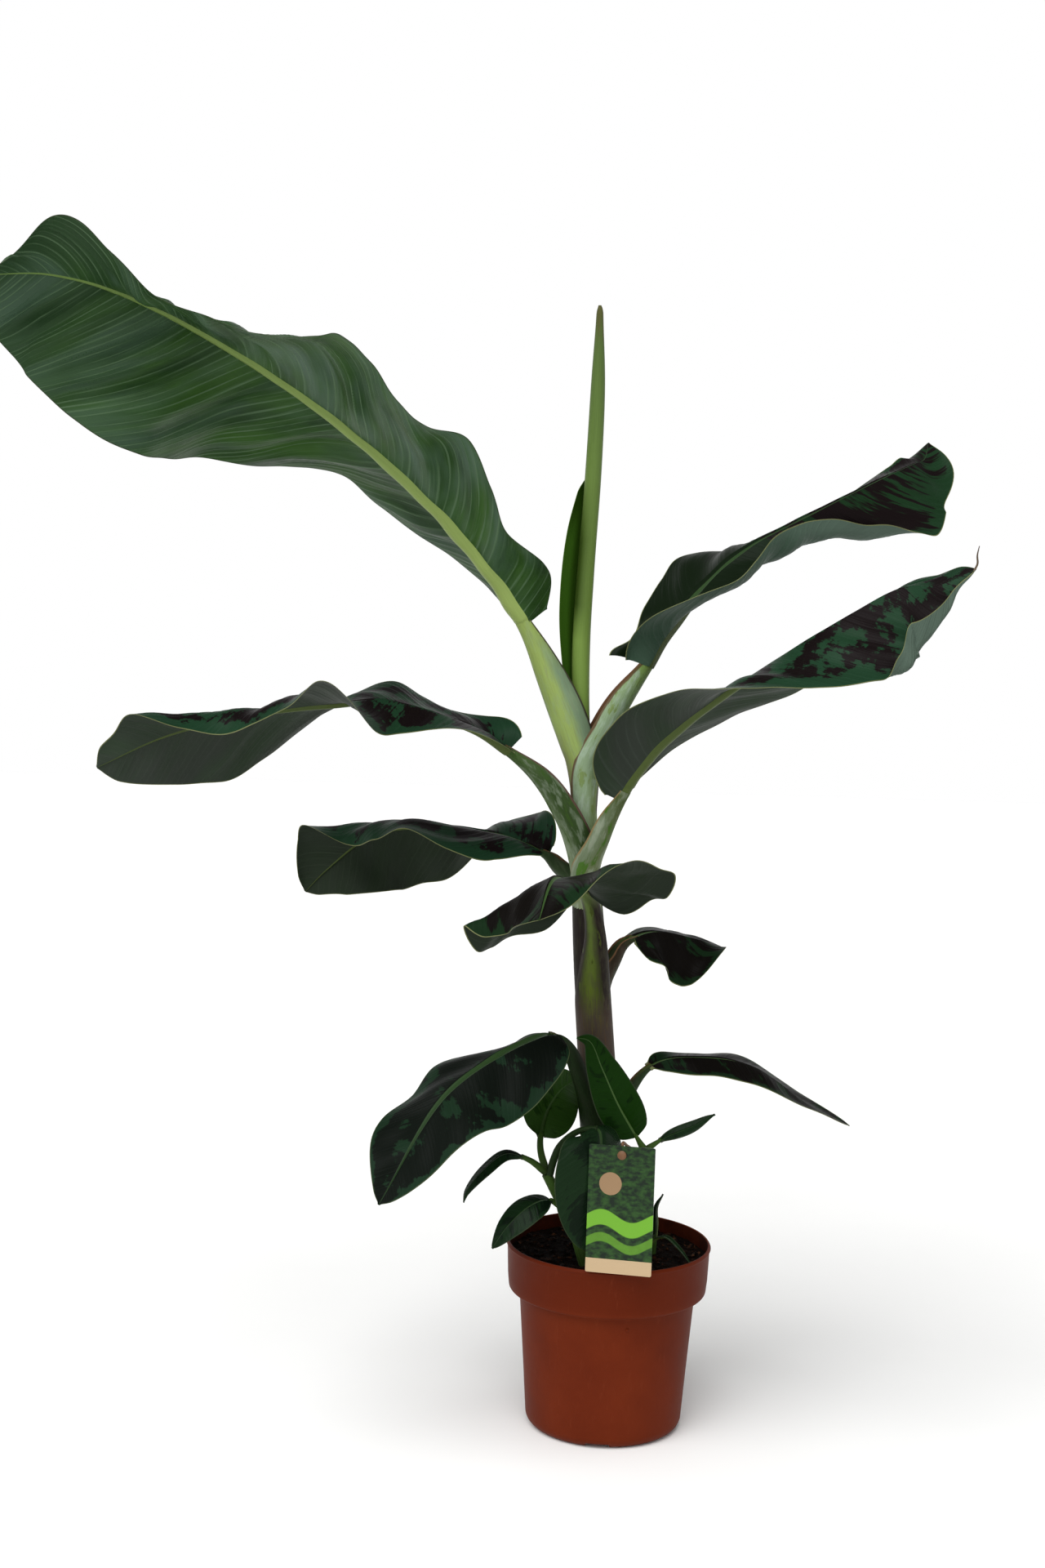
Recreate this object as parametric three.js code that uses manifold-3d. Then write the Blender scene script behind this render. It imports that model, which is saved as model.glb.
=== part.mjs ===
// Potted dwarf banana plant: a terracotta-brown nursery pot of potting mix, one stem of rolled
// leaf sheaths with nine open leaves and a furled one, suckers at its foot and a plant tag.
// Millimetres, +Z up, origin at the centre of the pot's underside, -Y to the front.
import * as THREE from "three";
import { mergeVertices } from "three/addons/utils/BufferGeometryUtils.js";
import Module from "manifold-3d";

const wasm = await Module();
wasm.setup();

// Clearance left where one piece meets another
const SEAT = 0.3;

// Nursery pot
const POT_HEIGHT = 192;
const RIM_RADIUS = 105;
const COLLAR_DROP = 47;
const COLLAR_RADIUS = 102;
const BODY_RADIUS = 90;
const FOOT_RADIUS = 80.5;
const FOOT_ROUND = 12;
const POT_WALL = 2.2;
const POT_SIDES = 36;
const DRAIN_COUNT = 4;
const DRAIN_WIDTH = 25;
const DRAIN_HEIGHT = 5;
const DRAIN_TURN = -96;

// Potting mix
const SOIL_LEVEL = 178;

// Stem: centre line from the soil to where the furled leaf leaves it, and its radius on the way
const STEM_LINE = [
  [0, 0, SOIL_LEVEL + SEAT], [-11, 0, 294], [-21, 0, 404], [-32, 0, 521], [-38, 0, 600], [-42, 0, 690],
];
const STEM_RADII = [24, 21, 20, 19, 15, 8];
const STEM_FLARE = 9;
const STEM_FLARE_HEIGHT = 22;

// Leaves of the stem, outermost sheath first. line runs from the sheath to the tip of the blade,
// stalk is the share of it below the blade, stalkWide the half-widths from its foot to the blade.
// width is the blade's half-width, roll turns the whole blade about its rib (right side down),
// and each half has its lift beside the rib and its curl out to the margin, in degrees, and its
// own share of that width. fold gives the shares of the half between which the curl happens,
// the rest staying straight.
const LEAVES = {
  low_left: {
    line: [
      [-23, -18, 281], [-36, -26, 362], [-62, -50, 416], [-96, -75, 412], [-168, -120, 369],
      [-228, -165, 271],
    ],
    stalk: 0.36, stalkWide: [13, 7], width: 66, skew: 0.8, full: 0.72,
    roll: [0, 0],
    left: {
      lift: [-8, -32, -42, -39, -19, -12, -19, -25],
      curl: [-10, -10],
      wide: [1.38, 1.09, 1.02, 0.98, 1, 0.99, 1, 1],
    },
    right: {
      lift: [-3, -17, -8, -1, -5, 17, 47, 55],
      curl: [-10, -10],
      wide: [0.89, 0.96, 1.01, 1, 1.02, 1.05, 1.01, 0.96],
    },
  },
  low_right: {
    line: [
      [-3, 16, 272], [15, 28, 334], [41, 40, 369], [84, 52, 375], [146, 66, 364], [205, 78, 325],
      [255, 86, 298],
    ],
    stalk: 0.3, stalkWide: [12, 5], width: 30, skew: 0.8, full: 0.7,
    roll: [0, 0],
    left: { lift: [30, 0, -5, 5, 5, 10, 15, 20], curl: [0, 0], wide: [1, 1] },
    right: { lift: [-40, -40, -30, -30, -25, -15, -5, -10], curl: [0, 0], wide: [1, 1] },
  },
  front: {
    line: [
      [-23, -20, 433], [-25, -30, 494], [-32, -45, 546], [-42, -70, 567], [-61, -130, 587],
      [-74, -195, 590], [-84, -245, 564],
    ],
    stalk: 0.45, stalkWide: [14, 7], width: 105, skew: 0.8, full: 0.6,
    roll: [-10, -10],
    left: {
      lift: [-27, -1, 3, 14, 19, 30, 37, 27],
      curl: [0, 0],
      wide: [1.03, 0.97, 1.01, 1.05, 1, 1, 1, 1.05],
    },
    right: {
      lift: [-77, -57, -56, -55, -41, -52, -56, -36],
      curl: [0, 0],
      wide: [0.97, 0.95, 0.99, 1.03, 1.01, 1.02, 0.99, 0.97],
    },
  },
  small_right: {
    line: [
      [-17, 12, 440], [-7, 24, 467], [7, 42, 494], [33, 62, 504], [74, 84, 496], [114, 100, 483],
    ],
    stalk: 0.4, stalkWide: [14, 6], width: 62, skew: 0.86, full: 0.58,
    roll: [0, 0],
    left: { lift: [-15, -20, -15, -5, 0, 0, 5, 5], curl: [0, 0], wide: [1, 1] },
    right: {
      lift: [-71, -46, -53, -52, -55, -46, -15, 9],
      curl: [0, 0],
      wide: [0.93, 0.92, 0.96, 1, 0.99, 0.99, 0.94, 0.98],
    },
  },
  mid_left: {
    line: [
      [-50, 10, 553], [-77, 45, 585], [-106, 60, 597], [-146, 75, 604], [-205, 95, 604],
      [-261, 110, 590], [-308, 118, 551], [-331, 120, 526],
    ],
    stalk: 0.16, stalkWide: [15, 6], width: 80, skew: 0.95, full: 0.5,
    roll: [0, 0],
    left: {
      lift: [3, -7, 5, 19, 38, 66, 95, 65],
      curl: [-30, -30, -30, -30, -80, -130, -50, -20],
      wide: [0.94, 0.99, 1.04, 1.11, 1.11, 1.08, 1.04, 0.71],
    },
    right: {
      lift: [80, 22, -7, -49, -60, -78, -100, -90],
      curl: [0, 0],
      wide: [1, 0.96, 1.02, 1, 0.97, 0.94, 0.82, 0.56],
    },
  },
  right: {
    line: [
      [-33, -15, 530], [-31, -15, 575], [-19, -20, 620], [-1, -28, 663], [25, -38, 702],
      [67, -50, 743], [132, -66, 792], [209, -85, 845], [254, -95, 871], [290, -101, 875],
      [322, -105, 891],
    ],
    stalk: 0.24, stalkWide: [18, 9], width: 100, skew: 1.0, full: 0.5,
    roll: [0, 0],
    left: {
      lift: [-25, -13, -13, -17, -22, -22, -10, 7, 20],
      curl: [0, 0],
      wide: [0.25, 0.65, 0.95, 1, 1, 1, 1, 1, 1],
    },
    right: {
      lift: [75, 60, 45, 35, 24, 13, 3, -6, -16, -28, -42, -57, -70, -74, -75, -68, -60],
      curl: [0, 0, 0, 0, 0, 0, 0, 0, 0, 0, 0, 20, 165, 175, 175, 170, 165],
      wide: [
        1.09, 1, 0.94, 0.93, 0.94, 1.06, 1.15, 1.09, 0.99, 0.94, 0.91, 0.93, 1.22, 1.42, 1.5, 0.48, 0.3,
      ],
      fold: [
        [0, 0, 0, 0, 0, 0, 0, 0, 0.3, 0.45, 0.6, 0.8, 0.75, 0.63, 0.62, 0.64, 0.64],
        [1, 1, 1, 1, 1, 1, 1, 1, 1, 1, 1, 1, 0.88, 0.76, 0.75, 0.8, 0.8],
      ],
    },
  },
  left: {
    line: [
      [-47, -7, 535], [-50, -7, 582], [-61, -14, 631], [-85, -22, 670], [-120, -28, 701],
      [-157, -35, 722], [-242, -50, 745], [-297, -60, 740], [-374, -78, 729], [-450, -95, 707],
      [-512, -108, 676],
    ],
    stalk: 0.305, stalkWide: [18, 16, 9], width: 78, skew: 0.9, full: 0.55,
    roll: [0, 0],
    left: {
      lift: [-4, -6, -8, -20, -35, -22, 8, 23, 24, 36, 56, 65, 75, 85, 75],
      curl: [0, 0, 0, 0, 0, 0, 0, -10, -38, -80, -135, -120, -95, -20, 0],
      wide: [0.81, 0.78, 0.75, 0.72, 0.68, 0.95, 1.15, 1.3, 1.05, 0.98, 0.96, 1.07, 1.45, 0.75, 1],
    },
    right: {
      lift: [65, 20, 6, 8, 13, 3, -8, -22, -34, -43, -53, -58, -65, -68, -70],
      curl: [0, 0],
      wide: [1.09, 1.06, 1.03, 1, 0.99, 1, 1.01, 1.08, 1.18, 1.23, 1.26, 1.22, 1.19, 1.19, 1.2],
    },
  },
  upper_right: {
    line: [
      [-37, -1, 612], [-37, -2, 645], [-33, -2, 684], [-18, 0, 725], [8, 2, 773], [56, 10, 848],
      [109, 25, 900], [184, 50, 942], [264, 85, 983], [293, 112, 996], [307, 130, 1002],
      [314, 150, 1020],
    ],
    stalk: 0.308, stalkWide: [18, 17, 11], width: 88, skew: 0.95, full: 0.45,
    roll: [0, 0],
    left: {
      lift: [60, 37, 13, 7, 7, -1, -10, -19, -27, -27, -23, -17, -12, -6, 3, 19, -4],
      curl: [0, 0],
      wide: [0.35, 0.58, 0.84, 0.95, 0.99, 1.01, 1, 1, 1, 0.95, 0.85, 0.7, 0.58, 0.5, 0.48, 0.55, 0.8],
    },
    right: {
      lift: [72, 45, 12, -15, -38, -48, -52, -57, -61, -66, -71, -72, -69, -66, -63, -56, -45],
      curl: [0, 16, 38, 62, 87, 108, 127, 140, 149, 153, 143, 130, 75, 18, 0, 0, 0],
      wide: [
        1.01, 1.02, 1.03, 1, 0.97, 0.98, 0.99, 0.94, 0.85, 0.84, 0.89, 0.99, 1.04, 1.19, 1.12, 0.88,
        0.39,
      ],
      fold: [
        [0, 0, 0, 0, 0, 0, 0, 0.08, 0.22, 0.34, 0.47, 0.53, 0.62, 0.7, 0.7, 0.7, 0.7],
        [1, 1, 1, 1, 1, 1, 1, 0.95, 0.87, 0.86, 0.9, 0.94, 1, 1, 1, 1, 1],
      ],
    },
  },
  upper_left: {
    line: [
      [-45, -4, 615], [-49, -3, 660], [-60, -3, 716], [-82, -8, 773], [-108, -15, 828],
      [-175, -35, 912], [-271, -60, 998], [-373, -110, 1066], [-476, -190, 1115], [-534, -240, 1126],
      [-585, -276, 1120],
    ],
    stalk: 0.25, stalkWide: [21, 20, 10.5], width: 132, skew: 1.35, full: 0.45,
    roll: [0, 0],
    left: {
      lift: [85, 34, 16, 20, 20, 9, 8, 15, 13, 5, -2, -5, -3, 21, 32, 10],
      curl: [0, 0],
      wide: [1.22, 1.19, 0.89, 0.98, 1.1, 1.04, 1, 0.95, 1.08, 1.19, 1.15, 0.82, 0.58, 0.61, 1.07, 1.35],
    },
    right: {
      lift: [5, 6, 0, -6, -5, -7, -19, -37, -47, -69, -84, -85, -77, -70, -62, -52],
      curl: [0, 0],
      wide: [1.23, 1.03, 0.91, 0.92, 0.99, 0.88, 0.99, 0.9, 0.94, 0.92, 0.98, 1.04, 1.06, 1.08, 1.15, 1.25],
    },
  },
};

// Depth of a stalk's two faces, as a share of its half-width, at its foot and at the blade:
// the channelled inner face hugs the stem below, the rounded outer face stands out above
const STALK_INNER = [1.5, 0.8];
const STALK_OUTER = [0.4, 0.85];

// The furled leaf above the stem: its line, the radius of its roll and the reach of its open flap
const FURLED_LINE = [
  [-42, 0, 690 + SEAT], [-47.5, 5, 755], [-48.5, 8, 810], [-46.5, 8, 876],
  [-42.5, 8, 965], [-40.5, 8, 1053], [-41, 8, 1138],
];
const FURLED_RADII = [7, 9, 9, 8.5, 8.2, 7.1, 4];
const FURLED_FLAP = [0, 7, 14, 12.5, 0, 0, 0];
const FURLED_TURN = 190;

// Sucker stems: line from the soil upwards, and radius at foot and top
const SUCKERS = {
  sucker_left: {
    line: [[-22, -50, SOIL_LEVEL + SEAT], [-40, -56, 226], [-56, -60, 256], [-67, -62, 275]],
    radii: [7, 5],
  },
  sucker_right: {
    line: [[26, -30, SOIL_LEVEL + SEAT], [31, -32, 244], [31, -35, 296]],
    radii: [8, 6],
  },
};

// Sucker leaves, laid out like the leaves of the stem
const SUCKER_LEAVES = {
  sucker_bright: {
    line: [
      [31, -36, 298], [19, -42, 318], [2, -50, 348], [-15, -52, 384], [-28, -48, 410],
      [-41, -42, 412],
    ],
    stalk: 0.12, stalkWide: [4, 3], width: 23, skew: 0.6, full: 0.75,
    roll: [-75, -75],
    left: { lift: [0, 0], curl: [10, 10], wide: [1, 1] },
    right: { lift: [0, 0], curl: [10, 10], wide: [1, 1] },
  },
  sucker_thin: {
    line: [[34, -33, 298], [53, -26, 309], [81, -20, 320], [96, -16, 328], [103, -14, 331]],
    stalk: 0.2, stalkWide: [3.5, 2], width: 7, skew: 0.8, full: 0.8,
    roll: [0, 0],
    left: { lift: [40, 40], curl: [0, 0], wide: [1, 1] },
    right: { lift: [-50, -50], curl: [0, 0], wide: [1, 1] },
  },
  sucker_broad: {
    line: [
      [-64, -63, 277], [-56, -66, 305], [-39, -68, 322], [-18, -74, 328], [-14, -86, 302],
      [-18, -90, 252], [-22, -90, 208],
    ],
    stalk: 0.36, stalkWide: [4, 3], width: 47, skew: 0.8, full: 0.5,
    roll: [0, 0],
    left: { lift: [-10, -10], curl: [-20, -20], wide: [1, 1] },
    right: { lift: [-10, -10], curl: [-20, -20], wide: [1, 1] },
  },
  sucker_narrow: {
    line: [
      [-68, -62, 279], [-85, -66, 292], [-108, -70, 299], [-130, -74, 283], [-147, -76, 260],
      [-149, -74, 249],
    ],
    stalk: 0.25, stalkWide: [4, 2.5], width: 10, skew: 0.8, full: 0.7,
    roll: [0, 0],
    left: { lift: [-40, -40], curl: [0, 0], wide: [1, 1] },
    right: { lift: [10, 10], curl: [0, 0], wide: [1, 1] },
  },
  sucker_back: {
    line: [[-67, -58, 277], [-74, -46, 300], [-70, -20, 325], [-55, 10, 345], [-35, 40, 352]],
    stalk: 0.28, stalkWide: [4, 3], width: 32, skew: 0.8, full: 0.6,
    roll: [0, 0],
    left: { lift: [50, 50], curl: [0, 0], wide: [1, 1] },
    right: { lift: [-50, -50], curl: [0, 0], wide: [1, 1] },
  },
  sucker_rim: {
    line: [[-50, -62, 243], [-66, -72, 254], [-84, -84, 250], [-104, -94, 233], [-119, -100, 211]],
    stalk: 0.16, stalkWide: [3.5, 2.5], width: 18, skew: 0.8, full: 0.7,
    roll: [0, 0],
    left: { lift: [-40, -40], curl: [0, 0], wide: [1, 1] },
    right: { lift: [10, 10], curl: [0, 0], wide: [1, 1] },
  },
  sucker_upright: {
    line: [[45, -10, SOIL_LEVEL + SEAT], [48, -8, 212], [48, -8, 231], [54, -6, 244]],
    stalk: 0.35, stalkWide: [3, 2], width: 5, skew: 0.8, full: 0.8,
    roll: [0, 0],
    left: { lift: [30, 30], curl: [0, 0], wide: [1, 1] },
    right: { lift: [30, 30], curl: [0, 0], wide: [1, 1] },
  },
  sucker_blade: {
    line: [
      [38, -24, SOIL_LEVEL + 3 * SEAT], [44, -24, 200], [56, -28, 206], [70, -34, 196], [82, -44, 183],
    ],
    stalk: 0.3, stalkWide: [2.5, 1.8], width: 4, skew: 0.8, full: 0.7,
    roll: [0, 0],
    left: { lift: [10, 10], curl: [0, 0], wide: [1, 1] },
    right: { lift: [10, 10], curl: [0, 0], wide: [1, 1] },
  },
};

// Plant tag: a card leaning on the rim, turned a little to the right, tied to a sucker by a strap
const TAG_WIDTH = 66;
const TAG_HEIGHT = 126;
const TAG_THICK = 1;
const TAG_HOLE = 3.2;
const TAG_HOLE_DROP = 9;
const TAG_TURN = -1;
const TAG_YAW = 14;
const TAG_LEAN = 5;
const TAG_CENTRE = [5.5, -107.5, 256];
const STRAP_END = [[6, -98, 320], [12, -76, 312], [28, -38, 292]];
const STRAP_RADIUS = 1.5;
const BUTTON_RADIUS = 4.5;
const BUTTON_THICK = 1.4;

// How finely the skins are divided
const STEM_SIDES = 20;
const STEM_RINGS = 13;
const BLADE_RINGS = 17;
const WAVY_RINGS = 20;
const WAVY_LEAVES = ["right", "left", "upper_right", "upper_left"];
const SUCKER_RINGS = 9;
const STALK_RINGS = 7;
const STALK_SIDES = 12;
const SUCKER_STALK_RINGS = 5;
const SUCKER_STALK_SIDES = 8;
const FURLED_RINGS = 13;
const FURLED_SIDES = 14;
const STRAP_RINGS = 10;
const RIB_SHARE = 0.08;
const ACROSS = [1, 0.7, 0.4, RIB_SHARE];
const WAVY_ACROSS = [1, 0.8, 0.6, 0.34, RIB_SHARE];
const PLAIN_CURL = [[0, 0], [1, 1]];
const SUCKER_ACROSS = [1, 0.5, RIB_SHARE * 2];

// Value at share t of evenly spaced stations, joined by a smooth curve
function along(values, t) {
  const last = values.length - 1;
  const x = t * last;
  const i = Math.min(Math.floor(x), last - 1);
  const f = x - i;
  const a = values[Math.max(i - 1, 0)];
  const b = values[i];
  const c = values[i + 1];
  const d = values[Math.min(i + 2, last)];
  const square = (2 * a - 5 * b + 4 * c - d) * f * f;
  const cube = (3 * b - a - 3 * c + d) * f * f * f;
  return 0.5 * (2 * b + (c - a) * f + square + cube);
}

function curveOf(points) {
  const vectors = points.map((p) => new THREE.Vector3(...p));
  return new THREE.CatmullRomCurve3(vectors, false, "centripetal");
}

// Closed skin over rings of equal, even point counts; each end is closed by a ladder of quads
function loft(rings) {
  const n = rings[0].length;
  const points = rings.flat();
  const index = [];
  for (let r = 0; r + 1 < rings.length; r++) {
    for (let k = 0; k < n; k++) {
      const a = r * n + k;
      const b = r * n + ((k + 1) % n);
      index.push(a, b, a + n, b, b + n, a + n);
    }
  }
  const end = (rings.length - 1) * n;
  for (let k = 0; k < n / 2 - 1; k++) {
    const m = n - 1 - k;
    index.push(k, m, k + 1, k + 1, m, m - 1);
    index.push(end + k, end + k + 1, end + m, end + k + 1, end + m - 1, end + m);
  }
  const geometry = new THREE.BufferGeometry();
  const flat = points.flatMap((p) => [p.x, p.y, p.z]);
  geometry.setAttribute("position", new THREE.Float32BufferAttribute(flat, 3));
  geometry.setIndex(index);
  return geometry;
}

// Solid for joining and cutting, with its skin turned outwards
function solidOf(geometry) {
  const bare = new THREE.BufferGeometry();
  bare.setAttribute("position", geometry.getAttribute("position"));
  bare.setIndex(geometry.getIndex());
  const merged = mergeVertices(bare, 1e-4);
  const p = merged.getAttribute("position").array;
  const kept = [];
  let volume = 0;
  const list = merged.getIndex().array;
  for (let i = 0; i < list.length; i += 3) {
    const [a, b, c] = [list[i], list[i + 1], list[i + 2]];
    if (a !== b && b !== c && c !== a) {
      kept.push([a, b, c]);
      const [va, vb, vc] = [a, b, c].map((k) => new THREE.Vector3().fromArray(p, k * 3));
      volume += va.dot(vb.cross(vc));
    }
  }
  const faces = kept.flatMap(([a, b, c]) => (volume > 0 ? [a, b, c] : [a, c, b]));
  return new wasm.Manifold(
    new wasm.Mesh({ numProp: 3, vertProperties: new Float32Array(p), triVerts: new Uint32Array(faces) }),
  );
}

function geometryOf(solid) {
  const mesh = solid.getMesh();
  const geometry = new THREE.BufferGeometry();
  geometry.setAttribute("position", new THREE.Float32BufferAttribute(mesh.vertProperties, 3));
  geometry.setIndex(Array.from(mesh.triVerts));
  geometry.computeVertexNormals();
  return geometry;
}

const group = new THREE.Group();
group.name = "potted_banana_plant";
const placed = [];

// Adds a named piece, cut clear of the pieces already there, and keeps its largest body
function place(name, colour, shape) {
  let solid = solidOf(shape(0));
  const box = new THREE.Box3().setFromBufferAttribute(shape(0).getAttribute("position"));
  for (const other of placed) {
    if (other.box.intersectsBox(box)) {
      solid = solid.subtract(other.grown);
    }
  }
  const bodies = solid.decompose().sort((a, b) => b.volume() - a.volume());
  const material = new THREE.MeshStandardMaterial({ color: colour, roughness: 0.7 });
  const mesh = new THREE.Mesh(geometryOf(bodies[0]), material);
  mesh.name = name;
  group.add(mesh);
  placed.push({ name, grown: solidOf(shape(SEAT)), box: box.clone().expandByScalar(1) });
}

function lathe(profile, sides) {
  const points = profile.map(([r, z]) => new THREE.Vector2(r, z));
  return new THREE.LatheGeometry(points, sides).rotateX(Math.PI / 2);
}

// Right-hand, upward and forward directions of a leaf at share u of its line
function frameAt(curve, heading, u, rollDeg) {
  const forward = curve.getTangentAt(u);
  const side = heading.clone().addScaledVector(forward, -heading.dot(forward)).normalize();
  side.applyAxisAngle(forward, THREE.MathUtils.degToRad(rollDeg));
  const up = new THREE.Vector3().crossVectors(side, forward);
  return { side, up, forward };
}

function headingOf(line) {
  const first = line[Math.floor(line.length / 3)];
  const last = line[line.length - 1];
  return new THREE.Vector3(last[1] - first[1], first[0] - last[0], 0).normalize();
}

// How far ring i of a grown limb moves along it: half the clearance at its ends, so that what
// stands a whole clearance off an end isn't shaved
function endGrowth(i, count, grow) {
  if (i === 0) {
    return -grow / 2;
  }
  return i === count - 1 ? grow / 2 : 0;
}

// Leaf stalk: a channelled limb, flat above and round below, widening into the sheath
function stalkShape(leaf, grow, count, sides) {
  const curve = curveOf(leaf.line);
  const heading = headingOf(leaf.line);
  const length = curve.getLength();
  const end = leaf.stalk - SEAT / length;
  const rings = [];
  for (let i = 0; i < count; i++) {
    const t = i / (count - 1);
    const { side, up, forward } = frameAt(curve, heading, t * end, leaf.roll[0]);
    const centre = curve.getPointAt(t * end).addScaledVector(forward, endGrowth(i, count, grow));
    const wide = along(leaf.stalkWide, t) + grow;
    const ring = [];
    const inner = THREE.MathUtils.lerp(STALK_INNER[0], STALK_INNER[1], t);
    const outer = THREE.MathUtils.lerp(STALK_OUTER[0], STALK_OUTER[1], t);
    for (let k = 0; k < sides; k++) {
      const a = ((k + 0.5) / sides) * 2 * Math.PI;
      const deep = (Math.sin(a) > 0 ? inner : outer) * wide;
      const point = centre.clone().addScaledVector(side, wide * Math.cos(a));
      ring.push(point.addScaledVector(up, deep * Math.sin(a)));
    }
    rings.push(ring);
  }
  return loft(rings);
}

// Offset and slope of the blade's section at share q of one half
function sectionAt(half, t, q, leafWidth) {
  const width = leafWidth * along(half.wide, t);
  const lift = THREE.MathUtils.degToRad(along(half.lift, t));
  const curl = THREE.MathUtils.degToRad(along(half.curl, t)) || 1e-4;
  const [low, high] = (half.fold ?? PLAIN_CURL).map((stations) => along(stations, t));
  const bend = curl / (high - low);
  const angle = lift + bend * THREE.MathUtils.clamp(q - low, 0, high - low);
  const before = Math.min(q, low);
  const beyond = Math.max(q - high, 0);
  const bentOut = (Math.sin(angle) - Math.sin(lift)) / bend;
  const bentRise = (Math.cos(lift) - Math.cos(angle)) / bend;
  return {
    out: width * (before * Math.cos(lift) + bentOut + beyond * Math.cos(angle)),
    rise: width * (before * Math.sin(lift) + bentRise + beyond * Math.sin(angle)),
    angle,
  };
}

function halfWidth(leaf, t) {
  const swell = Math.sin(Math.PI * Math.pow(THREE.MathUtils.lerp(0.015, 0.999, t), leaf.skew));
  return leaf.width * Math.pow(Math.max(swell, 0), leaf.full);
}

// Leaf blade: two halves that lift and curl along a keeled rib
function bladeShape(leaf, grow, count, across) {
  const curve = curveOf(leaf.line);
  const heading = headingOf(leaf.line);
  const thick = Math.max(1.2, (curve.getLength() * (1 - leaf.stalk)) / 100) + 2 * grow;
  const rings = [];
  for (let i = 0; i < count; i++) {
    const even = i / (count - 1);
    const t = THREE.MathUtils.lerp(even, 0.5 - 0.5 * Math.cos(Math.PI * even), 0.6);
    const u = THREE.MathUtils.lerp(leaf.stalk, 1, t);
    const { side, up } = frameAt(curve, heading, u, along(leaf.roll, t));
    const centre = curve.getPointAt(u);
    const width = halfWidth(leaf, t);
    const top = [];
    const under = [];
    const add = (half, hand, q) => {
      const { out, rise, angle } = sectionAt(half, t, q, width);
      const point = centre.clone().addScaledVector(side, hand * out).addScaledVector(up, rise);
      const normal = up.clone().multiplyScalar(Math.cos(angle));
      normal.addScaledVector(side, -hand * Math.sin(angle));
      top.push(point.clone().addScaledVector(normal, thick / 2));
      under.unshift(point.clone().addScaledVector(normal, -thick / 2));
    };
    for (const q of across) {
      add(leaf.right, 1, q);
    }
    const keel = thick / 2 + leaf.stalkWide.at(-1) * (1 - t);
    top.push(centre.clone().addScaledVector(up, thick / 2));
    under.unshift(centre.clone().addScaledVector(up, -keel));
    for (const q of across.slice().reverse()) {
      add(leaf.left, -1, q);
    }
    rings.push([...top, ...under]);
  }
  return loft(rings);
}

// Round limb along a line, its radius given at evenly spaced stations
function limbShape(line, radii, sides, count, grow, swell = () => 0) {
  const curve = curveOf(line);
  const rings = [];
  for (let i = 0; i < count; i++) {
    const t = i / (count - 1);
    const centre = curve.getPointAt(t);
    const radius = along(radii, t) + swell(centre) + grow;
    centre.addScaledVector(curve.getTangentAt(t), endGrowth(i, count, grow));
    const ring = [];
    for (let k = 0; k < sides; k++) {
      const a = (k / sides) * 2 * Math.PI;
      ring.push(centre.clone().add(new THREE.Vector3(radius * Math.cos(a), radius * Math.sin(a), 0)));
    }
    rings.push(ring);
  }
  return loft(rings);
}

function stemShape(grow) {
  const flare = (centre) => STEM_FLARE * Math.exp(-(centre.z - SOIL_LEVEL) / STEM_FLARE_HEIGHT);
  return limbShape(STEM_LINE, STEM_RADII, STEM_SIDES, STEM_RINGS, grow, flare);
}

// Furled leaf: a round roll with one flap standing open along its left
function furledShape(grow) {
  const curve = curveOf(FURLED_LINE);
  const turn = THREE.MathUtils.degToRad(FURLED_TURN);
  const rings = [];
  for (let i = 0; i < FURLED_RINGS; i++) {
    const t = i / (FURLED_RINGS - 1);
    const centre = curve.getPointAt(t);
    const radius = along(FURLED_RADII, t) + grow;
    const flap = Math.max(along(FURLED_FLAP, t), 0);
    const ring = [];
    for (let k = 0; k < FURLED_SIDES; k++) {
      const a = (k / FURLED_SIDES) * 2 * Math.PI + turn;
      const reach = radius + flap * Math.pow(Math.max(Math.cos(a - turn), 0), 8);
      ring.push(centre.clone().add(new THREE.Vector3(reach * Math.cos(a), reach * Math.sin(a), 0)));
    }
    rings.push(ring);
  }
  return loft(rings);
}

// Tapered pot with a deep collar, a rounded foot and drain slots at the foot's edge
function potShape() {
  const wall = POT_WALL;
  const collarFoot = POT_HEIGHT - COLLAR_DROP;
  const profile = [[0, 0]];
  for (let i = 0; i <= 4; i++) {
    const a = (i / 4) * 0.5 * Math.PI;
    profile.push([
      FOOT_RADIUS - FOOT_ROUND + FOOT_ROUND * Math.sin(a), FOOT_ROUND - FOOT_ROUND * Math.cos(a),
    ]);
  }
  profile.push([BODY_RADIUS, collarFoot - 8]);
  profile.push([COLLAR_RADIUS - 1, collarFoot]);
  profile.push([COLLAR_RADIUS, collarFoot + 3]);
  profile.push([RIM_RADIUS - 1, POT_HEIGHT - 4]);
  profile.push([RIM_RADIUS, POT_HEIGHT - 3]);
  profile.push([RIM_RADIUS, POT_HEIGHT - 1]);
  profile.push([RIM_RADIUS - 1, POT_HEIGHT]);
  profile.push([RIM_RADIUS - wall - 1, POT_HEIGHT]);
  profile.push([COLLAR_RADIUS - wall, collarFoot + 3]);
  profile.push([BODY_RADIUS - wall, collarFoot - 7]);
  profile.push([FOOT_RADIUS - wall, FOOT_ROUND]);
  profile.push([FOOT_RADIUS - FOOT_ROUND, wall]);
  profile.push([0, wall]);
  let pot = solidOf(lathe(profile, POT_SIDES));
  for (let i = 0; i < DRAIN_COUNT; i++) {
    const turn = THREE.MathUtils.degToRad(DRAIN_TURN + (360 / DRAIN_COUNT) * i);
    const slot = new THREE.BoxGeometry(24, DRAIN_WIDTH, 2 * DRAIN_HEIGHT);
    slot.translate(FOOT_RADIUS - 8, 0, 0).rotateZ(turn);
    pot = pot.subtract(solidOf(slot));
  }
  return geometryOf(pot);
}

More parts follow.
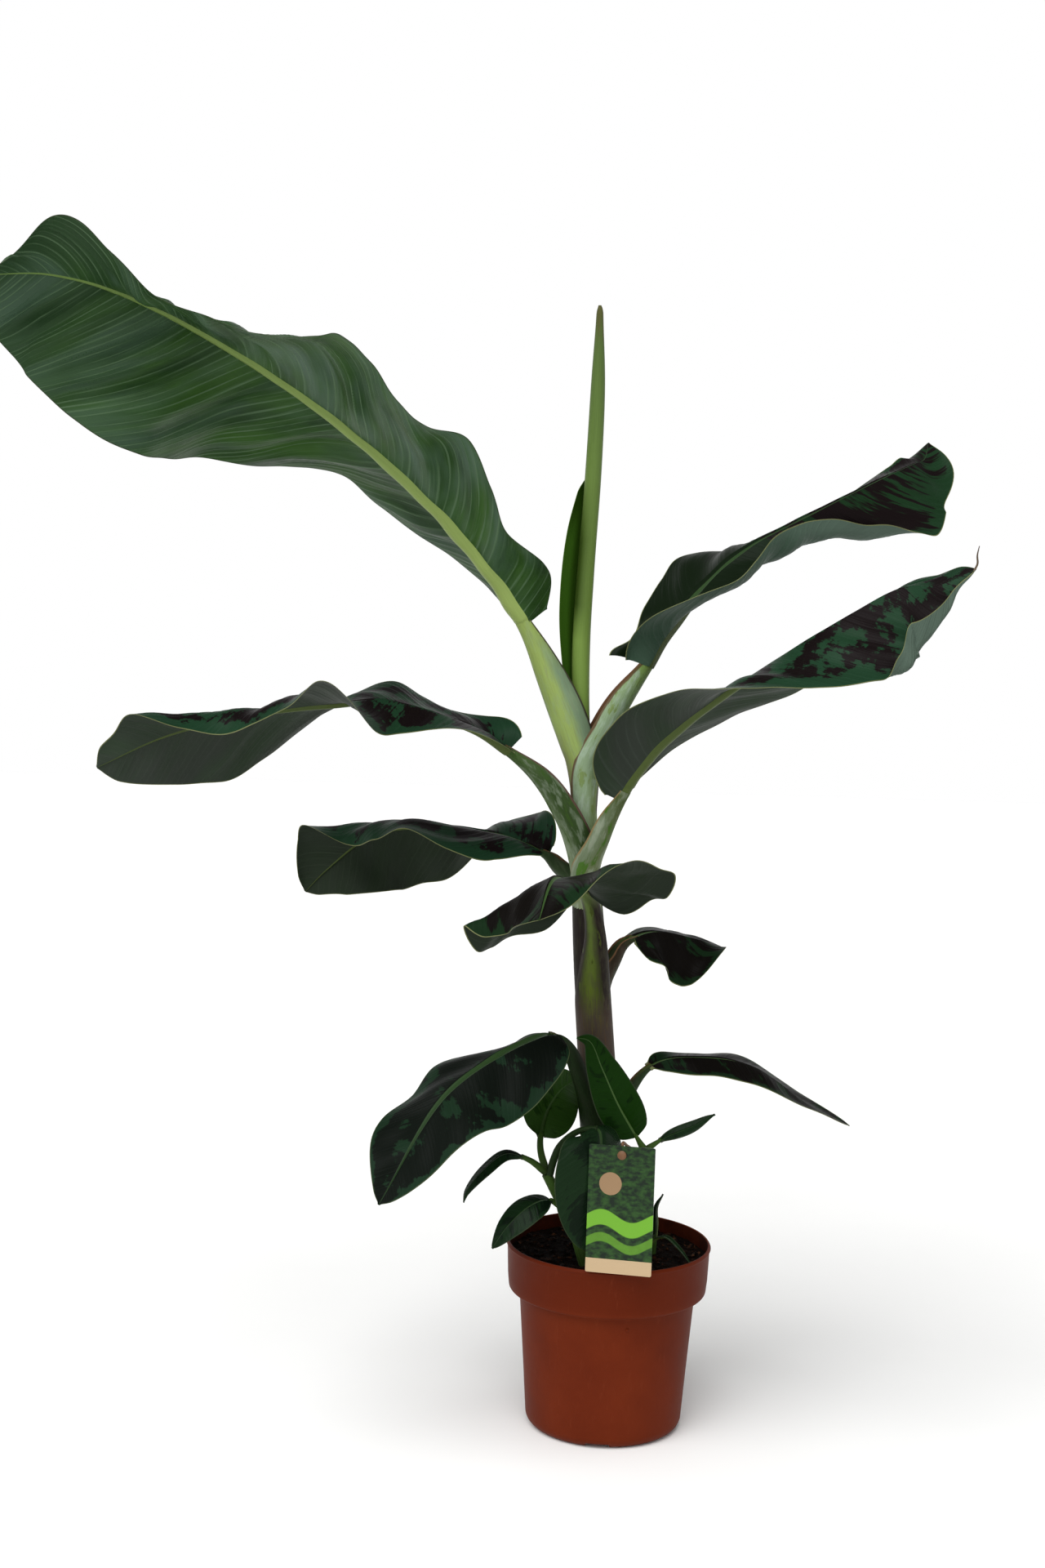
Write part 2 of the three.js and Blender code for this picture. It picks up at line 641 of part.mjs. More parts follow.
// Potting mix filling the pot
function soilShape() {
  const gap = POT_WALL + SEAT;
  const collarFoot = POT_HEIGHT - COLLAR_DROP;
  const share = (SOIL_LEVEL - collarFoot) / COLLAR_DROP;
  const top = THREE.MathUtils.lerp(COLLAR_RADIUS, RIM_RADIUS - 1, share) - gap - 0.5;
  const profile = [
    [0, gap], [FOOT_RADIUS - FOOT_ROUND - 1, gap], [FOOT_RADIUS - gap - 0.5, FOOT_ROUND + 1],
    [BODY_RADIUS - gap - 0.2, collarFoot - 7], [COLLAR_RADIUS - gap - 0.5, collarFoot + 3],
    [top, SOIL_LEVEL], [0, SOIL_LEVEL],
  ];
  return lathe(profile, POT_SIDES);
}

// Where a point of the flat card lies once the card is turned and set on the rim
function onTag(x, y, z) {
  const point = new THREE.Vector3(x, y, z);
  point.applyAxisAngle(new THREE.Vector3(0, 1, 0), THREE.MathUtils.degToRad(TAG_TURN));
  point.applyAxisAngle(new THREE.Vector3(1, 0, 0), THREE.MathUtils.degToRad(-TAG_LEAN));
  point.applyAxisAngle(new THREE.Vector3(0, 0, 1), THREE.MathUtils.degToRad(-TAG_YAW));
  return point.add(new THREE.Vector3(...TAG_CENTRE));
}

function turnToTag(geometry) {
  const position = geometry.getAttribute("position");
  for (let i = 0; i < position.count; i++) {
    const point = onTag(position.getX(i), position.getY(i), position.getZ(i));
    position.setXYZ(i, point.x, point.y, point.z);
  }
  return geometry;
}

const TAG_HOLE_RISE = TAG_HEIGHT / 2 - TAG_HOLE_DROP;

function tagShape() {
  const card = new THREE.BoxGeometry(TAG_WIDTH, TAG_THICK, TAG_HEIGHT);
  const hole = new THREE.CylinderGeometry(TAG_HOLE, TAG_HOLE, 4 * TAG_THICK, 16);
  hole.translate(0, 0, TAG_HOLE_RISE);
  return turnToTag(geometryOf(solidOf(card).subtract(solidOf(hole))));
}

// Strap: a button in front of the card, and a cord through its hole, over its top and back
function strapShape(grow) {
  const front = TAG_THICK / 2 + SEAT;
  const button = new THREE.CylinderGeometry(BUTTON_RADIUS, BUTTON_RADIUS, BUTTON_THICK, 12);
  turnToTag(button.translate(0, -front - BUTTON_THICK / 2, TAG_HOLE_RISE));
  const start = onTag(0, -front - BUTTON_THICK / 2, TAG_HOLE_RISE).toArray();
  const curve = curveOf([start, onTag(0, 5, TAG_HOLE_RISE).toArray(), ...STRAP_END]);
  const across = new THREE.Vector3(1, 0, 0);
  const rings = [];
  for (let i = 0; i < STRAP_RINGS; i++) {
    const t = i / (STRAP_RINGS - 1);
    const forward = curve.getTangentAt(t);
    const up = new THREE.Vector3().crossVectors(across, forward).normalize();
    const side = new THREE.Vector3().crossVectors(forward, up);
    const ring = [];
    for (let k = 0; k < 8; k++) {
      const a = (k / 8) * 2 * Math.PI;
      const point = curve.getPointAt(t).addScaledVector(side, (STRAP_RADIUS + grow) * Math.cos(a));
      ring.push(point.addScaledVector(up, (STRAP_RADIUS + grow) * Math.sin(a)));
    }
    rings.push(ring);
  }
  return geometryOf(solidOf(button).add(solidOf(loft(rings))));
}

place("pot", 0x8a3d24, potShape);
place("soil", 0x2b211b, soilShape);
place("stem", 0x5a4a3c, stemShape);
for (const [name, sucker] of Object.entries(SUCKERS)) {
  place(name, 0x66703c, (grow) => limbShape(sucker.line, sucker.radii, 10, 6, grow));
}
for (const [name, leaf] of Object.entries(LEAVES)) {
  place(`stalk_${name}`, 0x9aa070, (grow) => stalkShape(leaf, grow, STALK_RINGS, STALK_SIDES));
}
for (const [name, leaf] of Object.entries(SUCKER_LEAVES)) {
  const stalk = (grow) => stalkShape(leaf, grow, SUCKER_STALK_RINGS, SUCKER_STALK_SIDES);
  place(`stalk_${name}`, 0x9aa070, stalk);
}
place("leaf_furled", 0x5f8a3c, furledShape);
for (const [name, leaf] of Object.entries(LEAVES)) {
  const wavy = WAVY_LEAVES.includes(name);
  const division = wavy ? [WAVY_RINGS, WAVY_ACROSS] : [BLADE_RINGS, ACROSS];
  place(`leaf_${name}`, 0x3f5f35, (grow) => bladeShape(leaf, grow, ...division));
}
for (const [name, leaf] of Object.entries(SUCKER_LEAVES)) {
  place(`leaf_${name}`, 0x4a7a3a, (grow) => bladeShape(leaf, grow, SUCKER_RINGS, SUCKER_ACROSS));
}
place("tag", 0x7f9a58, tagShape);
place("tag_strap", 0x6b4326, strapShape);

export default group;
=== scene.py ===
"""Potted dwarf banana plant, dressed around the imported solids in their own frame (metres, +Z up)."""
import math

import bmesh
import bpy
import numpy as np
from mathutils import Matrix, Vector


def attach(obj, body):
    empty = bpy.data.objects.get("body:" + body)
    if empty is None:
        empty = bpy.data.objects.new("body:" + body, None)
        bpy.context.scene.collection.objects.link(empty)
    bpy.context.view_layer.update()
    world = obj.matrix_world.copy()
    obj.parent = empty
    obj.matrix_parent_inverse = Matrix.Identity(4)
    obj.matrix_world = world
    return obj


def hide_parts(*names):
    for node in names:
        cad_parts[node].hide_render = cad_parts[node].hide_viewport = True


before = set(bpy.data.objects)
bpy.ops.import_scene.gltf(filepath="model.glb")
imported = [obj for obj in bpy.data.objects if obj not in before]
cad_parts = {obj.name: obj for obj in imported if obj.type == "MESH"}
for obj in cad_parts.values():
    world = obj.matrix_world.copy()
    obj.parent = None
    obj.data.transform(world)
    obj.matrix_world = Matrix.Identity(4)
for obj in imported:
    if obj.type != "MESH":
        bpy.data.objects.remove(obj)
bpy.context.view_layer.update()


# Nursery pot
# A thin round pot of terracotta-brown plastic, injection moulded in one piece: a deep collar
# stands out over the tapered body, and slots at the edge of the foot let the water out.
MM = 0.001
AXIS = 0.01
POT_HEIGHT = 192
RIM_RADIUS = 105
RIM_BEAD = 1.4
RIM_LIP = 1.2
COLLAR_DROP = 47
COLLAR_RADIUS = 102
COLLAR_ROUND = 4
BODY_RADIUS = 90
BODY_TAPER = [(84, 60), (88.5, 118)]
FOOT_MIDDLE = 40
FOOT_RADIUS = 80.5
FOOT_ROUND = 12
POT_WALL = 2.2
POT_COLUMNS = 180
DRAIN_COUNT = 4
DRAIN_WIDTH = 25
DRAIN_HEIGHT = 5
DRAIN_TURN = -96
DRAIN_DEPTH = 20
DRAIN_ROUND = 1.5
POT_BROWN = (0.122, 0.0175, 0.004)
POT_WORN = (0.165, 0.033, 0.012)
POT_DEEP = (0.096, 0.013, 0.003)
# Painted shade: darker brown that the collar and rim are blended to, for the shade the leaves cast on them.
POT_COLLAR_SHADE = (0.084, 0.0105, 0.002)
# Painted shade: the inside wall's colours are a much darker copy of the pot's brown, for the shade inside
# the pot.
POT_INSIDE_SHADE = (0.02, 0.0038, 0.0012)
POT_PALER_INSIDE_SHADE = (0.042, 0.0068, 0.0018)
PIP_PLACE = (17.6, -87.6, 128)
PIP_SIZE = (1.9, 1.5, 1.9)


class Value:
    """Output of a shader node: what is done with it adds the nodes for that."""

    def __init__(self, tree, socket):
        self.tree = tree
        self.socket = socket

    def maths(self, operation, *others):
        return wire(self.tree, "Math", dict(enumerate((self, *others))), operation=operation)

    def __add__(self, other):
        return self.maths("ADD", other)

    def __sub__(self, other):
        return self.maths("SUBTRACT", other)

    def __mul__(self, other):
        return self.maths("MULTIPLY", other)

    def __abs__(self):
        return self.maths("ABSOLUTE")

    def part(self, axis):
        """One of the three numbers of a place."""
        return wire(self.tree, "SeparateXYZ", {0: self}, axis)

    def stretched(self, x, y, z=1.0):
        """The place, drawn out or squeezed along each of its axes."""
        return wire(self.tree, "VectorMath", {0: self, 1: (x, y, z)}, operation="MULTIPLY")

    def noise(self, scale, detail=3.0, rough=0.55):
        inputs = {"Vector": self, "Scale": scale, "Detail": detail, "Roughness": rough}
        return wire(self.tree, "TexNoise", inputs)

    def ramp(self, *stops):
        """Colour or grey looked up along stops of (place, value)."""
        found = wire(self.tree, "ValToRGB", {0: self})
        band = found.socket.node.color_ramp
        while len(band.elements) < len(stops):
            band.elements.new(1.0)
        for element, (place, tone) in zip(band.elements, stops):
            element.position = place
            element.color = (*tone, 1) if isinstance(tone, tuple) else (tone, tone, tone, 1)
        return found

    def blend(self, first, second):
        """Colour this share of the way from first to second."""
        return wire(self.tree, "Mix", {0: self, 6: first, 7: second}, 2, data_type="RGBA")


def wire(tree, kind, inputs, output=0, **settings):
    """Output of a new shader node: each input is another's output, a colour or a plain value."""
    node = tree.nodes.new("ShaderNode" + kind)
    for key, value in settings.items():
        setattr(node, key, value)
    for key, value in inputs.items():
        socket = node.inputs[key]
        if isinstance(value, Value):
            tree.links.new(value.socket, socket)
        else:
            socket.default_value = (*value, 1) if socket.type == "RGBA" else value
    return Value(tree, node.outputs[output])


class Finish:
    """A material in the making, whose colour, roughness and relief follow shader outputs."""

    def __init__(self, name, rough, gloss=0.5):
        self.material = bpy.data.materials.new(name)
        self.material.use_nodes = True
        self.tree = self.material.node_tree
        self.sockets = self.tree.nodes["Principled BSDF"].inputs
        self.sockets["Roughness"].default_value = rough
        self.sockets["Specular IOR Level"].default_value = gloss

    def place(self):
        """Place on the piece, in metres."""
        return wire(self.tree, "TexCoord", {}, "Object")

    def map(self, label):
        """Place on the surface, in tenths of a metre along and across, or as shares of it."""
        return wire(self.tree, "UVMap", {}, uv_map=label)

    def colour(self, value):
        self.painted = value
        self.tree.links.new(value.socket, self.sockets["Base Color"])

    def rough(self, value, smoothest, roughest):
        span = wire(self.tree, "MapRange", {0: value, 3: smoothest, 4: roughest})
        self.tree.links.new(span.socket, self.sockets["Roughness"])

    def relief(self, height, depth):
        """Relief of the surface, depth in metres."""
        bump = wire(self.tree, "Bump", {"Height": height, "Distance": depth, "Strength": 1.0})
        self.tree.links.new(bump.socket, self.sockets["Normal"])


def skin(rings, count):
    """Quads between closed rings of count points each."""
    row = np.arange(rings - 1)[:, None] * count
    k = np.arange(count)[None, :]
    a = row + k
    b = row + (k + 1) % count
    return np.stack([a, b, b + count, a + count], -1).reshape(-1, 4)


def piece_of(name, points, faces, finishes, finish_of=None, maps=None, sharp=50):
    """A mesh piece from points in millimetres, with a finish for each face and maps of its points."""
    mesh = bpy.data.meshes.new(name)
    places = np.asarray(points, float).reshape(-1, 3) * MM
    mesh.from_pydata(places.tolist(), [], [list(map(int, face)) for face in faces])
    for finish in finishes:
        mesh.materials.append(finish.material)
    if finish_of is not None:
        mesh.polygons.foreach_set("material_index", np.asarray(finish_of, np.int32))
    corners = np.empty(len(mesh.loops), np.int32)
    mesh.loops.foreach_get("vertex_index", corners)
    for label, values in (maps or {}).items():
        layer = mesh.uv_layers.new(name=label)
        layer.data.foreach_set("uv", np.asarray(values, np.float32).reshape(-1, 2)[corners].ravel())
    shell = bmesh.new()
    shell.from_mesh(mesh)
    bmesh.ops.recalc_face_normals(shell, faces=shell.faces)
    shell.to_mesh(mesh)
    shell.free()
    mesh.shade_smooth()
    mesh.set_sharp_from_angle(angle=math.radians(sharp))
    if not maps:
        mesh.uv_layers.new(name="plain")
    piece = bpy.data.objects.new(name, mesh)
    bpy.context.scene.collection.objects.link(piece)
    return piece


def settle(piece, slot, *nodes):
    """The piece belongs to the plant's one body and stands for any solids named."""
    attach(piece, "root")
    if nodes:
        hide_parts(*nodes)


def arc(radius, centre, start, end, count):
    """Points of an arc in a turned profile, as (radius, height), angles in degrees."""
    angles = np.radians(np.linspace(start, end, count))
    return [(centre[0] + radius * math.cos(a), centre[1] + radius * math.sin(a)) for a in angles]


def turned(profile, columns):
    """Points of a profile turned about the upright axis, ring by ring."""
    angle = np.arange(columns) / columns * 2 * np.pi
    x, y = np.cos(angle), np.sin(angle)
    return np.concatenate([np.stack([r * x, r * y, np.full(columns, z)], -1) for r, z in profile])


def ball_of(subdivisions):
    """Points and faces of a ball of radius 1."""
    ball = bmesh.new()
    bmesh.ops.create_icosphere(ball, subdivisions=subdivisions, radius=1.0)
    points = np.array([v.co for v in ball.verts])
    faces = np.array([[v.index for v in f.verts] for f in ball.faces])
    ball.free()
    return points, faces


collar_foot = POT_HEIGHT - COLLAR_DROP
inner_floor = DRAIN_HEIGHT + POT_WALL
pot_profile = [(AXIS, 0), (FOOT_MIDDLE, 0), (FOOT_RADIUS - DRAIN_DEPTH, 0)]
pot_profile += arc(FOOT_ROUND, (FOOT_RADIUS - FOOT_ROUND, FOOT_ROUND), -90, 0, 10)
pot_profile += BODY_TAPER
pot_profile += arc(COLLAR_ROUND, (BODY_RADIUS + COLLAR_ROUND, collar_foot - 2 * COLLAR_ROUND), 175, 110, 5)
pot_profile += arc(COLLAR_ROUND, (COLLAR_RADIUS - COLLAR_ROUND - 0.5, collar_foot + 1), -60, -5, 6)
pot_profile += [(COLLAR_RADIUS + 0.6, collar_foot + 12), (RIM_RADIUS - RIM_LIP, POT_HEIGHT - 5)]
pot_profile += arc(RIM_BEAD, (RIM_RADIUS - RIM_BEAD, POT_HEIGHT - RIM_BEAD - RIM_LIP), -40, 30, 4)
pot_profile += arc(RIM_LIP, (RIM_RADIUS - 2, POT_HEIGHT - RIM_LIP), 60, 150, 5)
outer_rows = len(pot_profile) - 1
pot_profile += [
    (RIM_RADIUS - POT_WALL - RIM_LIP, POT_HEIGHT - 4), (COLLAR_RADIUS - POT_WALL, collar_foot + 6),
    (BODY_RADIUS - POT_WALL, collar_foot - 7), (FOOT_RADIUS - POT_WALL, FOOT_ROUND),
    (FOOT_RADIUS - FOOT_ROUND, inner_floor), (AXIS, inner_floor),
]
inner_rows = len(pot_profile) - 1 - outer_rows
pot_points = turned(pot_profile, POT_COLUMNS)
bearing = np.arctan2(pot_points[:, 1], pot_points[:, 0])
reach = np.hypot(pot_points[:, 0], pot_points[:, 1])
for number in range(DRAIN_COUNT):
    away = bearing - math.radians(DRAIN_TURN + 360 / DRAIN_COUNT * number)
    aside = np.abs(reach * np.sin(away))
    in_slot = (aside < DRAIN_WIDTH / 2) & (np.cos(away) > 0) & (reach > FOOT_RADIUS - DRAIN_DEPTH + 1)
    slot_height = DRAIN_HEIGHT * np.clip((DRAIN_WIDTH / 2 - aside) / DRAIN_ROUND, 0, 1)
    raised = np.maximum(pot_points[:, 2], slot_height)
    pot_points[:, 2] = np.where(in_slot, raised, pot_points[:, 2])

pot_finish = Finish("pot_plastic", 0.5, 0.05)
place = pot_finish.place()
cloudy = place.noise(14.0, 4.0)
scuffed = place.stretched(1, 1, 0.25).noise(160.0, 5.0, 0.7).ramp((0.58, 0.0), (0.78, 1.0))
shade = cloudy.ramp((0.35, 0.0), (0.7, 1.0)).blend(POT_DEEP, POT_BROWN)
# Painted shade: above about 15 cm the collar and rim are blended towards a darker brown, for the shade the
# leaves cast on them.
shade = place.part(2).ramp((0.14, 0.0), (0.15, 0.8)).blend(shade, POT_COLLAR_SHADE)
pot_finish.colour((scuffed * 0.35).blend(shade, POT_WORN))
pot_finish.rough(cloudy, 0.42, 0.6)
pot_finish.relief(place.noise(900.0, 2.0), 0.00012)

# Painted shade: the inside wall is near-black brown with paler patches, standing for the shade inside the
# pot.
shaded_inside_finish = Finish("pot_inside_shaded", 0.7, 0.03)
paler_patches = shaded_inside_finish.place().noise(40.0, 4.0).ramp((0.35, 0.0), (0.65, 1.0))
shaded_inside_finish.colour(paler_patches.blend(POT_INSIDE_SHADE, POT_PALER_INSIDE_SHADE))

finish_of = np.repeat([0] * outer_rows + [1] * inner_rows, POT_COLUMNS)
pot_faces = skin(len(pot_profile), POT_COLUMNS)
pot = piece_of("pot", pot_points, pot_faces, [pot_finish, shaded_inside_finish], finish_of, sharp=35)
settle(pot, "pot", "pot")

pip_points, pip_faces = ball_of(2)
pip = piece_of("pot_pip", pip_points * PIP_SIZE + PIP_PLACE, pip_faces, [pot_finish])
settle(pip, "pot")


# Potting mix
# Dark, loose peat and bark, painted darker still for the shade of the rim and leaves, that fills the pot to
# just under the rim, with crumbs lying on it.
# It is heaped a little round the foot of the stem and sinks towards the wall.
SOIL_LEVEL = 182
SOIL_RADIUS = 101
SOIL_DEEP = 22
SOIL_FOOT = SOIL_RADIUS - 3
SOIL_SINK = 1.5
SOIL_HEAP = 5
HEAP_CENTRE = 0.5
SOIL_LUMPS = 1.8
SOIL_LUMP_SIZE = 30
SOIL_RINGS = 56
SOIL_COLUMNS = 150
CRUMB_COUNT = 900
CRUMB_SIZES = (0.8, 3.6)
CRUMB_SHAPES = ((1.0, 0.5, 0.35), (2.2, 1.0, 0.8))
CRUMB_ROUGH = 0.25
CRUMB_FIELD = SOIL_RADIUS - 4
CRUMB_PROUD = 0.3
CRUMB_TILT = 0.4
# The mix's dark and brown are partly its own colour and partly painted shade from the rim and leaves;
# SOIL_BARK is the crumbs' own colour.
SOIL_DARK_IN_SHADE = (0.0014, 0.0008, 0.0005)
SOIL_BROWN_IN_SHADE = (0.011, 0.0042, 0.002)
SOIL_BARK = (0.07, 0.028, 0.012)


def lumps(points, size, seed, layers=4, waves=5, finer=1.9, fainter=1.7):
    """Smooth uneven heights, from waves that run in random directions."""
    draw = np.random.default_rng(seed)
    height = np.zeros(len(points))
    for layer in range(layers):
        for _ in range(waves):
            direction = draw.normal(size=points.shape[1])
            direction /= np.linalg.norm(direction)
            phase = draw.uniform(0, 2 * np.pi)
            pitch = size / finer**layer
            height += np.sin(points @ direction * 2 * np.pi / pitch + phase) / fainter**layer
    return height / waves


def soil_height(xy):
    """Level of the mix at points of the plan."""
    out = np.hypot(xy[:, 0], xy[:, 1]) / SOIL_RADIUS
    heap = SOIL_HEAP * (HEAP_CENTRE - out**2)
    return SOIL_LEVEL - SOIL_SINK + heap + SOIL_LUMPS * lumps(xy, SOIL_LUMP_SIZE, 11)


# Painted shade: the mix is drawn in near-black browns, darker than peat alone, for the shade over it.
soil_finish = Finish("potting_mix", 0.95, 0.05)
place = soil_finish.place()
grain = place.noise(420.0, 6.0, 0.7)
earth = grain.ramp((0.42, 0.0), (0.7, 1.0)).blend(SOIL_DARK_IN_SHADE, SOIL_BROWN_IN_SHADE)
patch = place.noise(60.0, 3.0).ramp((0.55, 0.0), (0.85, 0.8))
soil_finish.colour(patch.blend(earth, SOIL_BROWN_IN_SHADE))
soil_finish.relief(grain, 0.0025)

# Painted shade: the crumbs' darker flecks use the same shaded browns as the mix.
bark_finish = Finish("bark_crumbs", 0.9, 0.08)
place = bark_finish.place()
fleck = place.noise(150.0, 2.0)
bark_finish.colour(fleck.ramp((0.35, SOIL_DARK_IN_SHADE), (0.55, SOIL_BROWN_IN_SHADE), (0.75, SOIL_BARK)))
bark_finish.relief(place.stretched(1, 0.3).noise(900.0, 3.0), 0.0006)

ring_radii = [SOIL_RADIUS * math.sqrt(k / (SOIL_RINGS - 1)) + AXIS for k in range(SOIL_RINGS)]
soil_profile = [(radius, SOIL_LEVEL) for radius in ring_radii]
soil_profile += [(SOIL_FOOT, SOIL_LEVEL - SOIL_DEEP), (AXIS, SOIL_LEVEL - SOIL_DEEP)]
soil_points = turned(soil_profile, SOIL_COLUMNS)
top_count = SOIL_RINGS * SOIL_COLUMNS
soil_points[:top_count, 2] = soil_height(soil_points[:top_count, :2])
soil = piece_of("soil", soil_points, skin(len(soil_profile), SOIL_COLUMNS), [soil_finish])
settle(soil, "soil", "soil")

draw = np.random.default_rng(4)
pebble_points, pebble_faces = ball_of(1)
crumb_points = []
crumb_faces = []
for number in range(CRUMB_COUNT):
    out = CRUMB_FIELD * math.sqrt(draw.uniform(0.02, 1))
    turn = draw.uniform(0, 2 * np.pi)
    spot = np.array([[out * math.cos(turn), out * math.sin(turn)]])
    size = CRUMB_SIZES[0] + (CRUMB_SIZES[1] - CRUMB_SIZES[0]) * draw.uniform() ** 3
    squash = draw.uniform(*CRUMB_SHAPES)
    uneven = 1 + CRUMB_ROUGH * draw.normal(size=(len(pebble_points), 1))
    spin = Matrix.Rotation(draw.uniform(0, 6.3), 3, "Z")
    spin = spin @ Matrix.Rotation(draw.normal(0, CRUMB_TILT), 3, "X")
    level = soil_height(spot)[0] + CRUMB_PROUD * size
    crumb_faces.append(pebble_faces + number * len(pebble_points))
    crumb_points.append(pebble_points * uneven * squash * size @ np.array(spin).T + (*spot[0], level))
crumbs = piece_of("soil_crumbs", np.concatenate(crumb_points), np.concatenate(crumb_faces), [bark_finish])
settle(crumbs, "soil")


# Stem
# Not wood but the rolled bases of the leaves, one inside the other. What shows between the leaf
# sheaths is old sheath: purple-brown, ribbed along its length and dry at the foot.
STEM_LINE = [(0, 0, 178.3), (-11, 0, 294), (-21, 0, 404), (-32, 0, 521), (-38, 0, 600), (-42, 0, 690)]
STEM_RADII = (24, 21, 20, 19, 15, 8)
STEM_FLARE = 9
STEM_FLARE_HEIGHT = 22
STEM_CORE = 4.4
STEM_SUNK = 6
STEM_RIBS = ((0.25, 17, 60), (0.2, 31, -90))
STEM_RINGS = 170
STEM_SIDES = 96
STEM_PURPLE = (0.028, 0.015, 0.014)
STEM_BROWN = (0.075, 0.043, 0.03)
STEM_DRY = (0.19, 0.115, 0.065)
CURVE_POINTS = 60
HEADING_STEP = 2e-3
MAP_UNIT = 100
STEM_MAP_ROUND = 0.2


def along(values, share):
    """Values at a share of evenly spaced stations, joined by a smooth curve."""
    values = np.asarray(values, float)
    last = len(values) - 1
    x = np.asarray(share, float) * last
    i = np.clip(np.floor(x).astype(int), 0, last - 1)
    f = x - i
    a, b = values[np.maximum(i - 1, 0)], values[i]
    c, d = values[i + 1], values[np.minimum(i + 2, last)]
    cube = (3 * b - a - 3 * c + d) * f**3
    return 0.5 * (2 * b + (c - a) * f + (2 * a - 5 * b + 4 * c - d) * f**2 + cube)


def smooth_line(points):
    """Close points along a smooth curve through the given ones, and the length run at each."""
    p = np.array(points, float)
    p = np.vstack([2 * p[0] - p[1], p, 2 * p[-1] - p[-2]])
    run = []
    for i in range(1, len(p) - 2):
        before, start, end, after = p[i - 1 : i + 3]
        d0, d1, d2 = np.sqrt([np.linalg.norm(b - a) for a, b in zip(p[i - 1 :], p[i : i + 3])])
        leave = ((start - before) / d0 - (end - before) / (d0 + d1) + (end - start) / d1) * d1
        reach_end = ((end - start) / d1 - (after - start) / (d1 + d2) + (after - end) / d2) * d1
        f = np.linspace(0, 1, CURVE_POINTS)[:, None]
        square = -3 * start + 3 * end - 2 * leave - reach_end
        cube = 2 * start - 2 * end + leave + reach_end
        run.append((start + leave * f + square * f**2 + cube * f**3)[: None if i == len(p) - 3 else -1])
    run = np.concatenate(run)
    length = np.concatenate([[0], np.cumsum(np.linalg.norm(np.diff(run, axis=0), axis=1))])
    return run, length


def point_at(line, share):
    run, length = line
    x = np.clip(share, 0, 1) * length[-1]
    return np.stack([np.interp(x, length, run[:, k]) for k in range(3)], -1)


def unit(vectors):
    return vectors / np.linalg.norm(vectors, axis=-1, keepdims=True)


def heading_at(line, share):
    share = np.asarray(share)
    return unit(point_at(line, share + HEADING_STEP) - point_at(line, share - HEADING_STEP))


def ease(x, low, high):
    """0 below low, 1 above high, smooth between."""
    s = np.clip((np.asarray(x, float) - low) / (high - low), 0, 1)
    return s * s * (3 - 2 * s)


def paired(lengthwise, across):
    """Map of a surface's points from their values along and across it."""
    return np.stack(np.broadcast_arrays(lengthwise, across), -1)


stem_line = smooth_line(STEM_LINE)
stem_run = stem_line[0]


def stem_centre(z):
    """Middle of the stem at a height."""
    return np.stack([np.interp(z, stem_run[:, 2], stem_run[:, k]) for k in range(3)], -1)


def stem_radius(z):
    share = np.interp(z, stem_run[:, 2], stem_line[1]) / stem_line[1][-1]
    return along(STEM_RADII, share) + STEM_FLARE * np.exp(-(z - SOIL_LEVEL) / STEM_FLARE_HEIGHT)


stem_finish = Finish("old_sheath", 0.55, 0.4)
place = stem_finish.map("run")
streak = place.stretched(0.7, 9.0).noise(6.0, 5.0, 0.65)
patch = place.stretched(1.0, 1.6).noise(2.2, 3.0).ramp((0.52, 0.0), (0.72, 0.7))
stem_finish.colour(patch.blend(streak.ramp((0.32, STEM_PURPLE), (0.62, STEM_BROWN)), STEM_DRY))
stem_finish.rough(streak, 0.4, 0.75)
stem_finish.relief(streak, 0.0008)

level = np.linspace(SOIL_LEVEL - STEM_SUNK, STEM_LINE[-1][2], STEM_RINGS)[:, None]
above = np.maximum(level[:, 0], SOIL_LEVEL)
turn = np.linspace(0, 2 * np.pi, STEM_SIDES, endpoint=False)
ribs = sum(high * np.sin(number * turn + level / pitch) for high, number, pitch in STEM_RIBS)
core_radius = (stem_radius(above) - STEM_CORE)[:, None] + ribs
core_centre = stem_centre(above)
core_x = core_centre[:, :1] + core_radius * np.cos(turn)
core_y = core_centre[:, 1:2] + core_radius * np.sin(turn)
stem_points = np.stack([core_x, core_y, np.broadcast_to(level, core_x.shape)], -1)
stem_faces = [list(f) for f in skin(STEM_RINGS, STEM_SIDES)]
stem_faces += [range(STEM_SIDES), range((STEM_RINGS - 1) * STEM_SIDES, STEM_RINGS * STEM_SIDES)]
stem_map = paired(level / MAP_UNIT, turn * STEM_MAP_ROUND)
stem = piece_of("stem", stem_points, stem_faces, [stem_finish], maps={"run": stem_map})
settle(stem, "stem", "stem")


# Leaf sheaths and stalks
# Each leaf stands on a channelled stalk whose foot widens into a sheath round the stem. The sheaths
# nest, the lowest leaf's outermost, and their two thin edges cross in a V where the stalk breaks away.
SHEATH_FEET = {
    "low_left": 182, "low_right": 182, "front": 186, "small_right": 300, "mid_left": 330,
    "right": 400, "left": 400, "upper_right": 480, "upper_left": 500,
}
SHEATH_NEST = 0.45
SHEATH_WRAP = 150
STALK_WRAP = 128
BLADE_WRAP = 92
BUNDLE_RADIUS = 16
SHEATH_WALL = 2.2
SHEATH_EDGE = 0.5
STALK_FILL = 0.95
STALK_OUTER = (0.4, 0.85)
STALK_FREE = (0.0, 0.6)
STALK_SWELL = (0.15, 0.9)
STALK_AIM = 0.6
TURN_GROWS = (0.1, 0.5)
WALL_TAPER = 2.5
SHEATH_SIDES = 25
SHEATH_STEP = 4
SHEATH_RUN = 400
STALK_OVERLAP = 5
STALK_TURN = {"upper_right": 20}
LEVEL = (0, 0)
FLAT = (0, 0)
WHOLE = (1, 1)

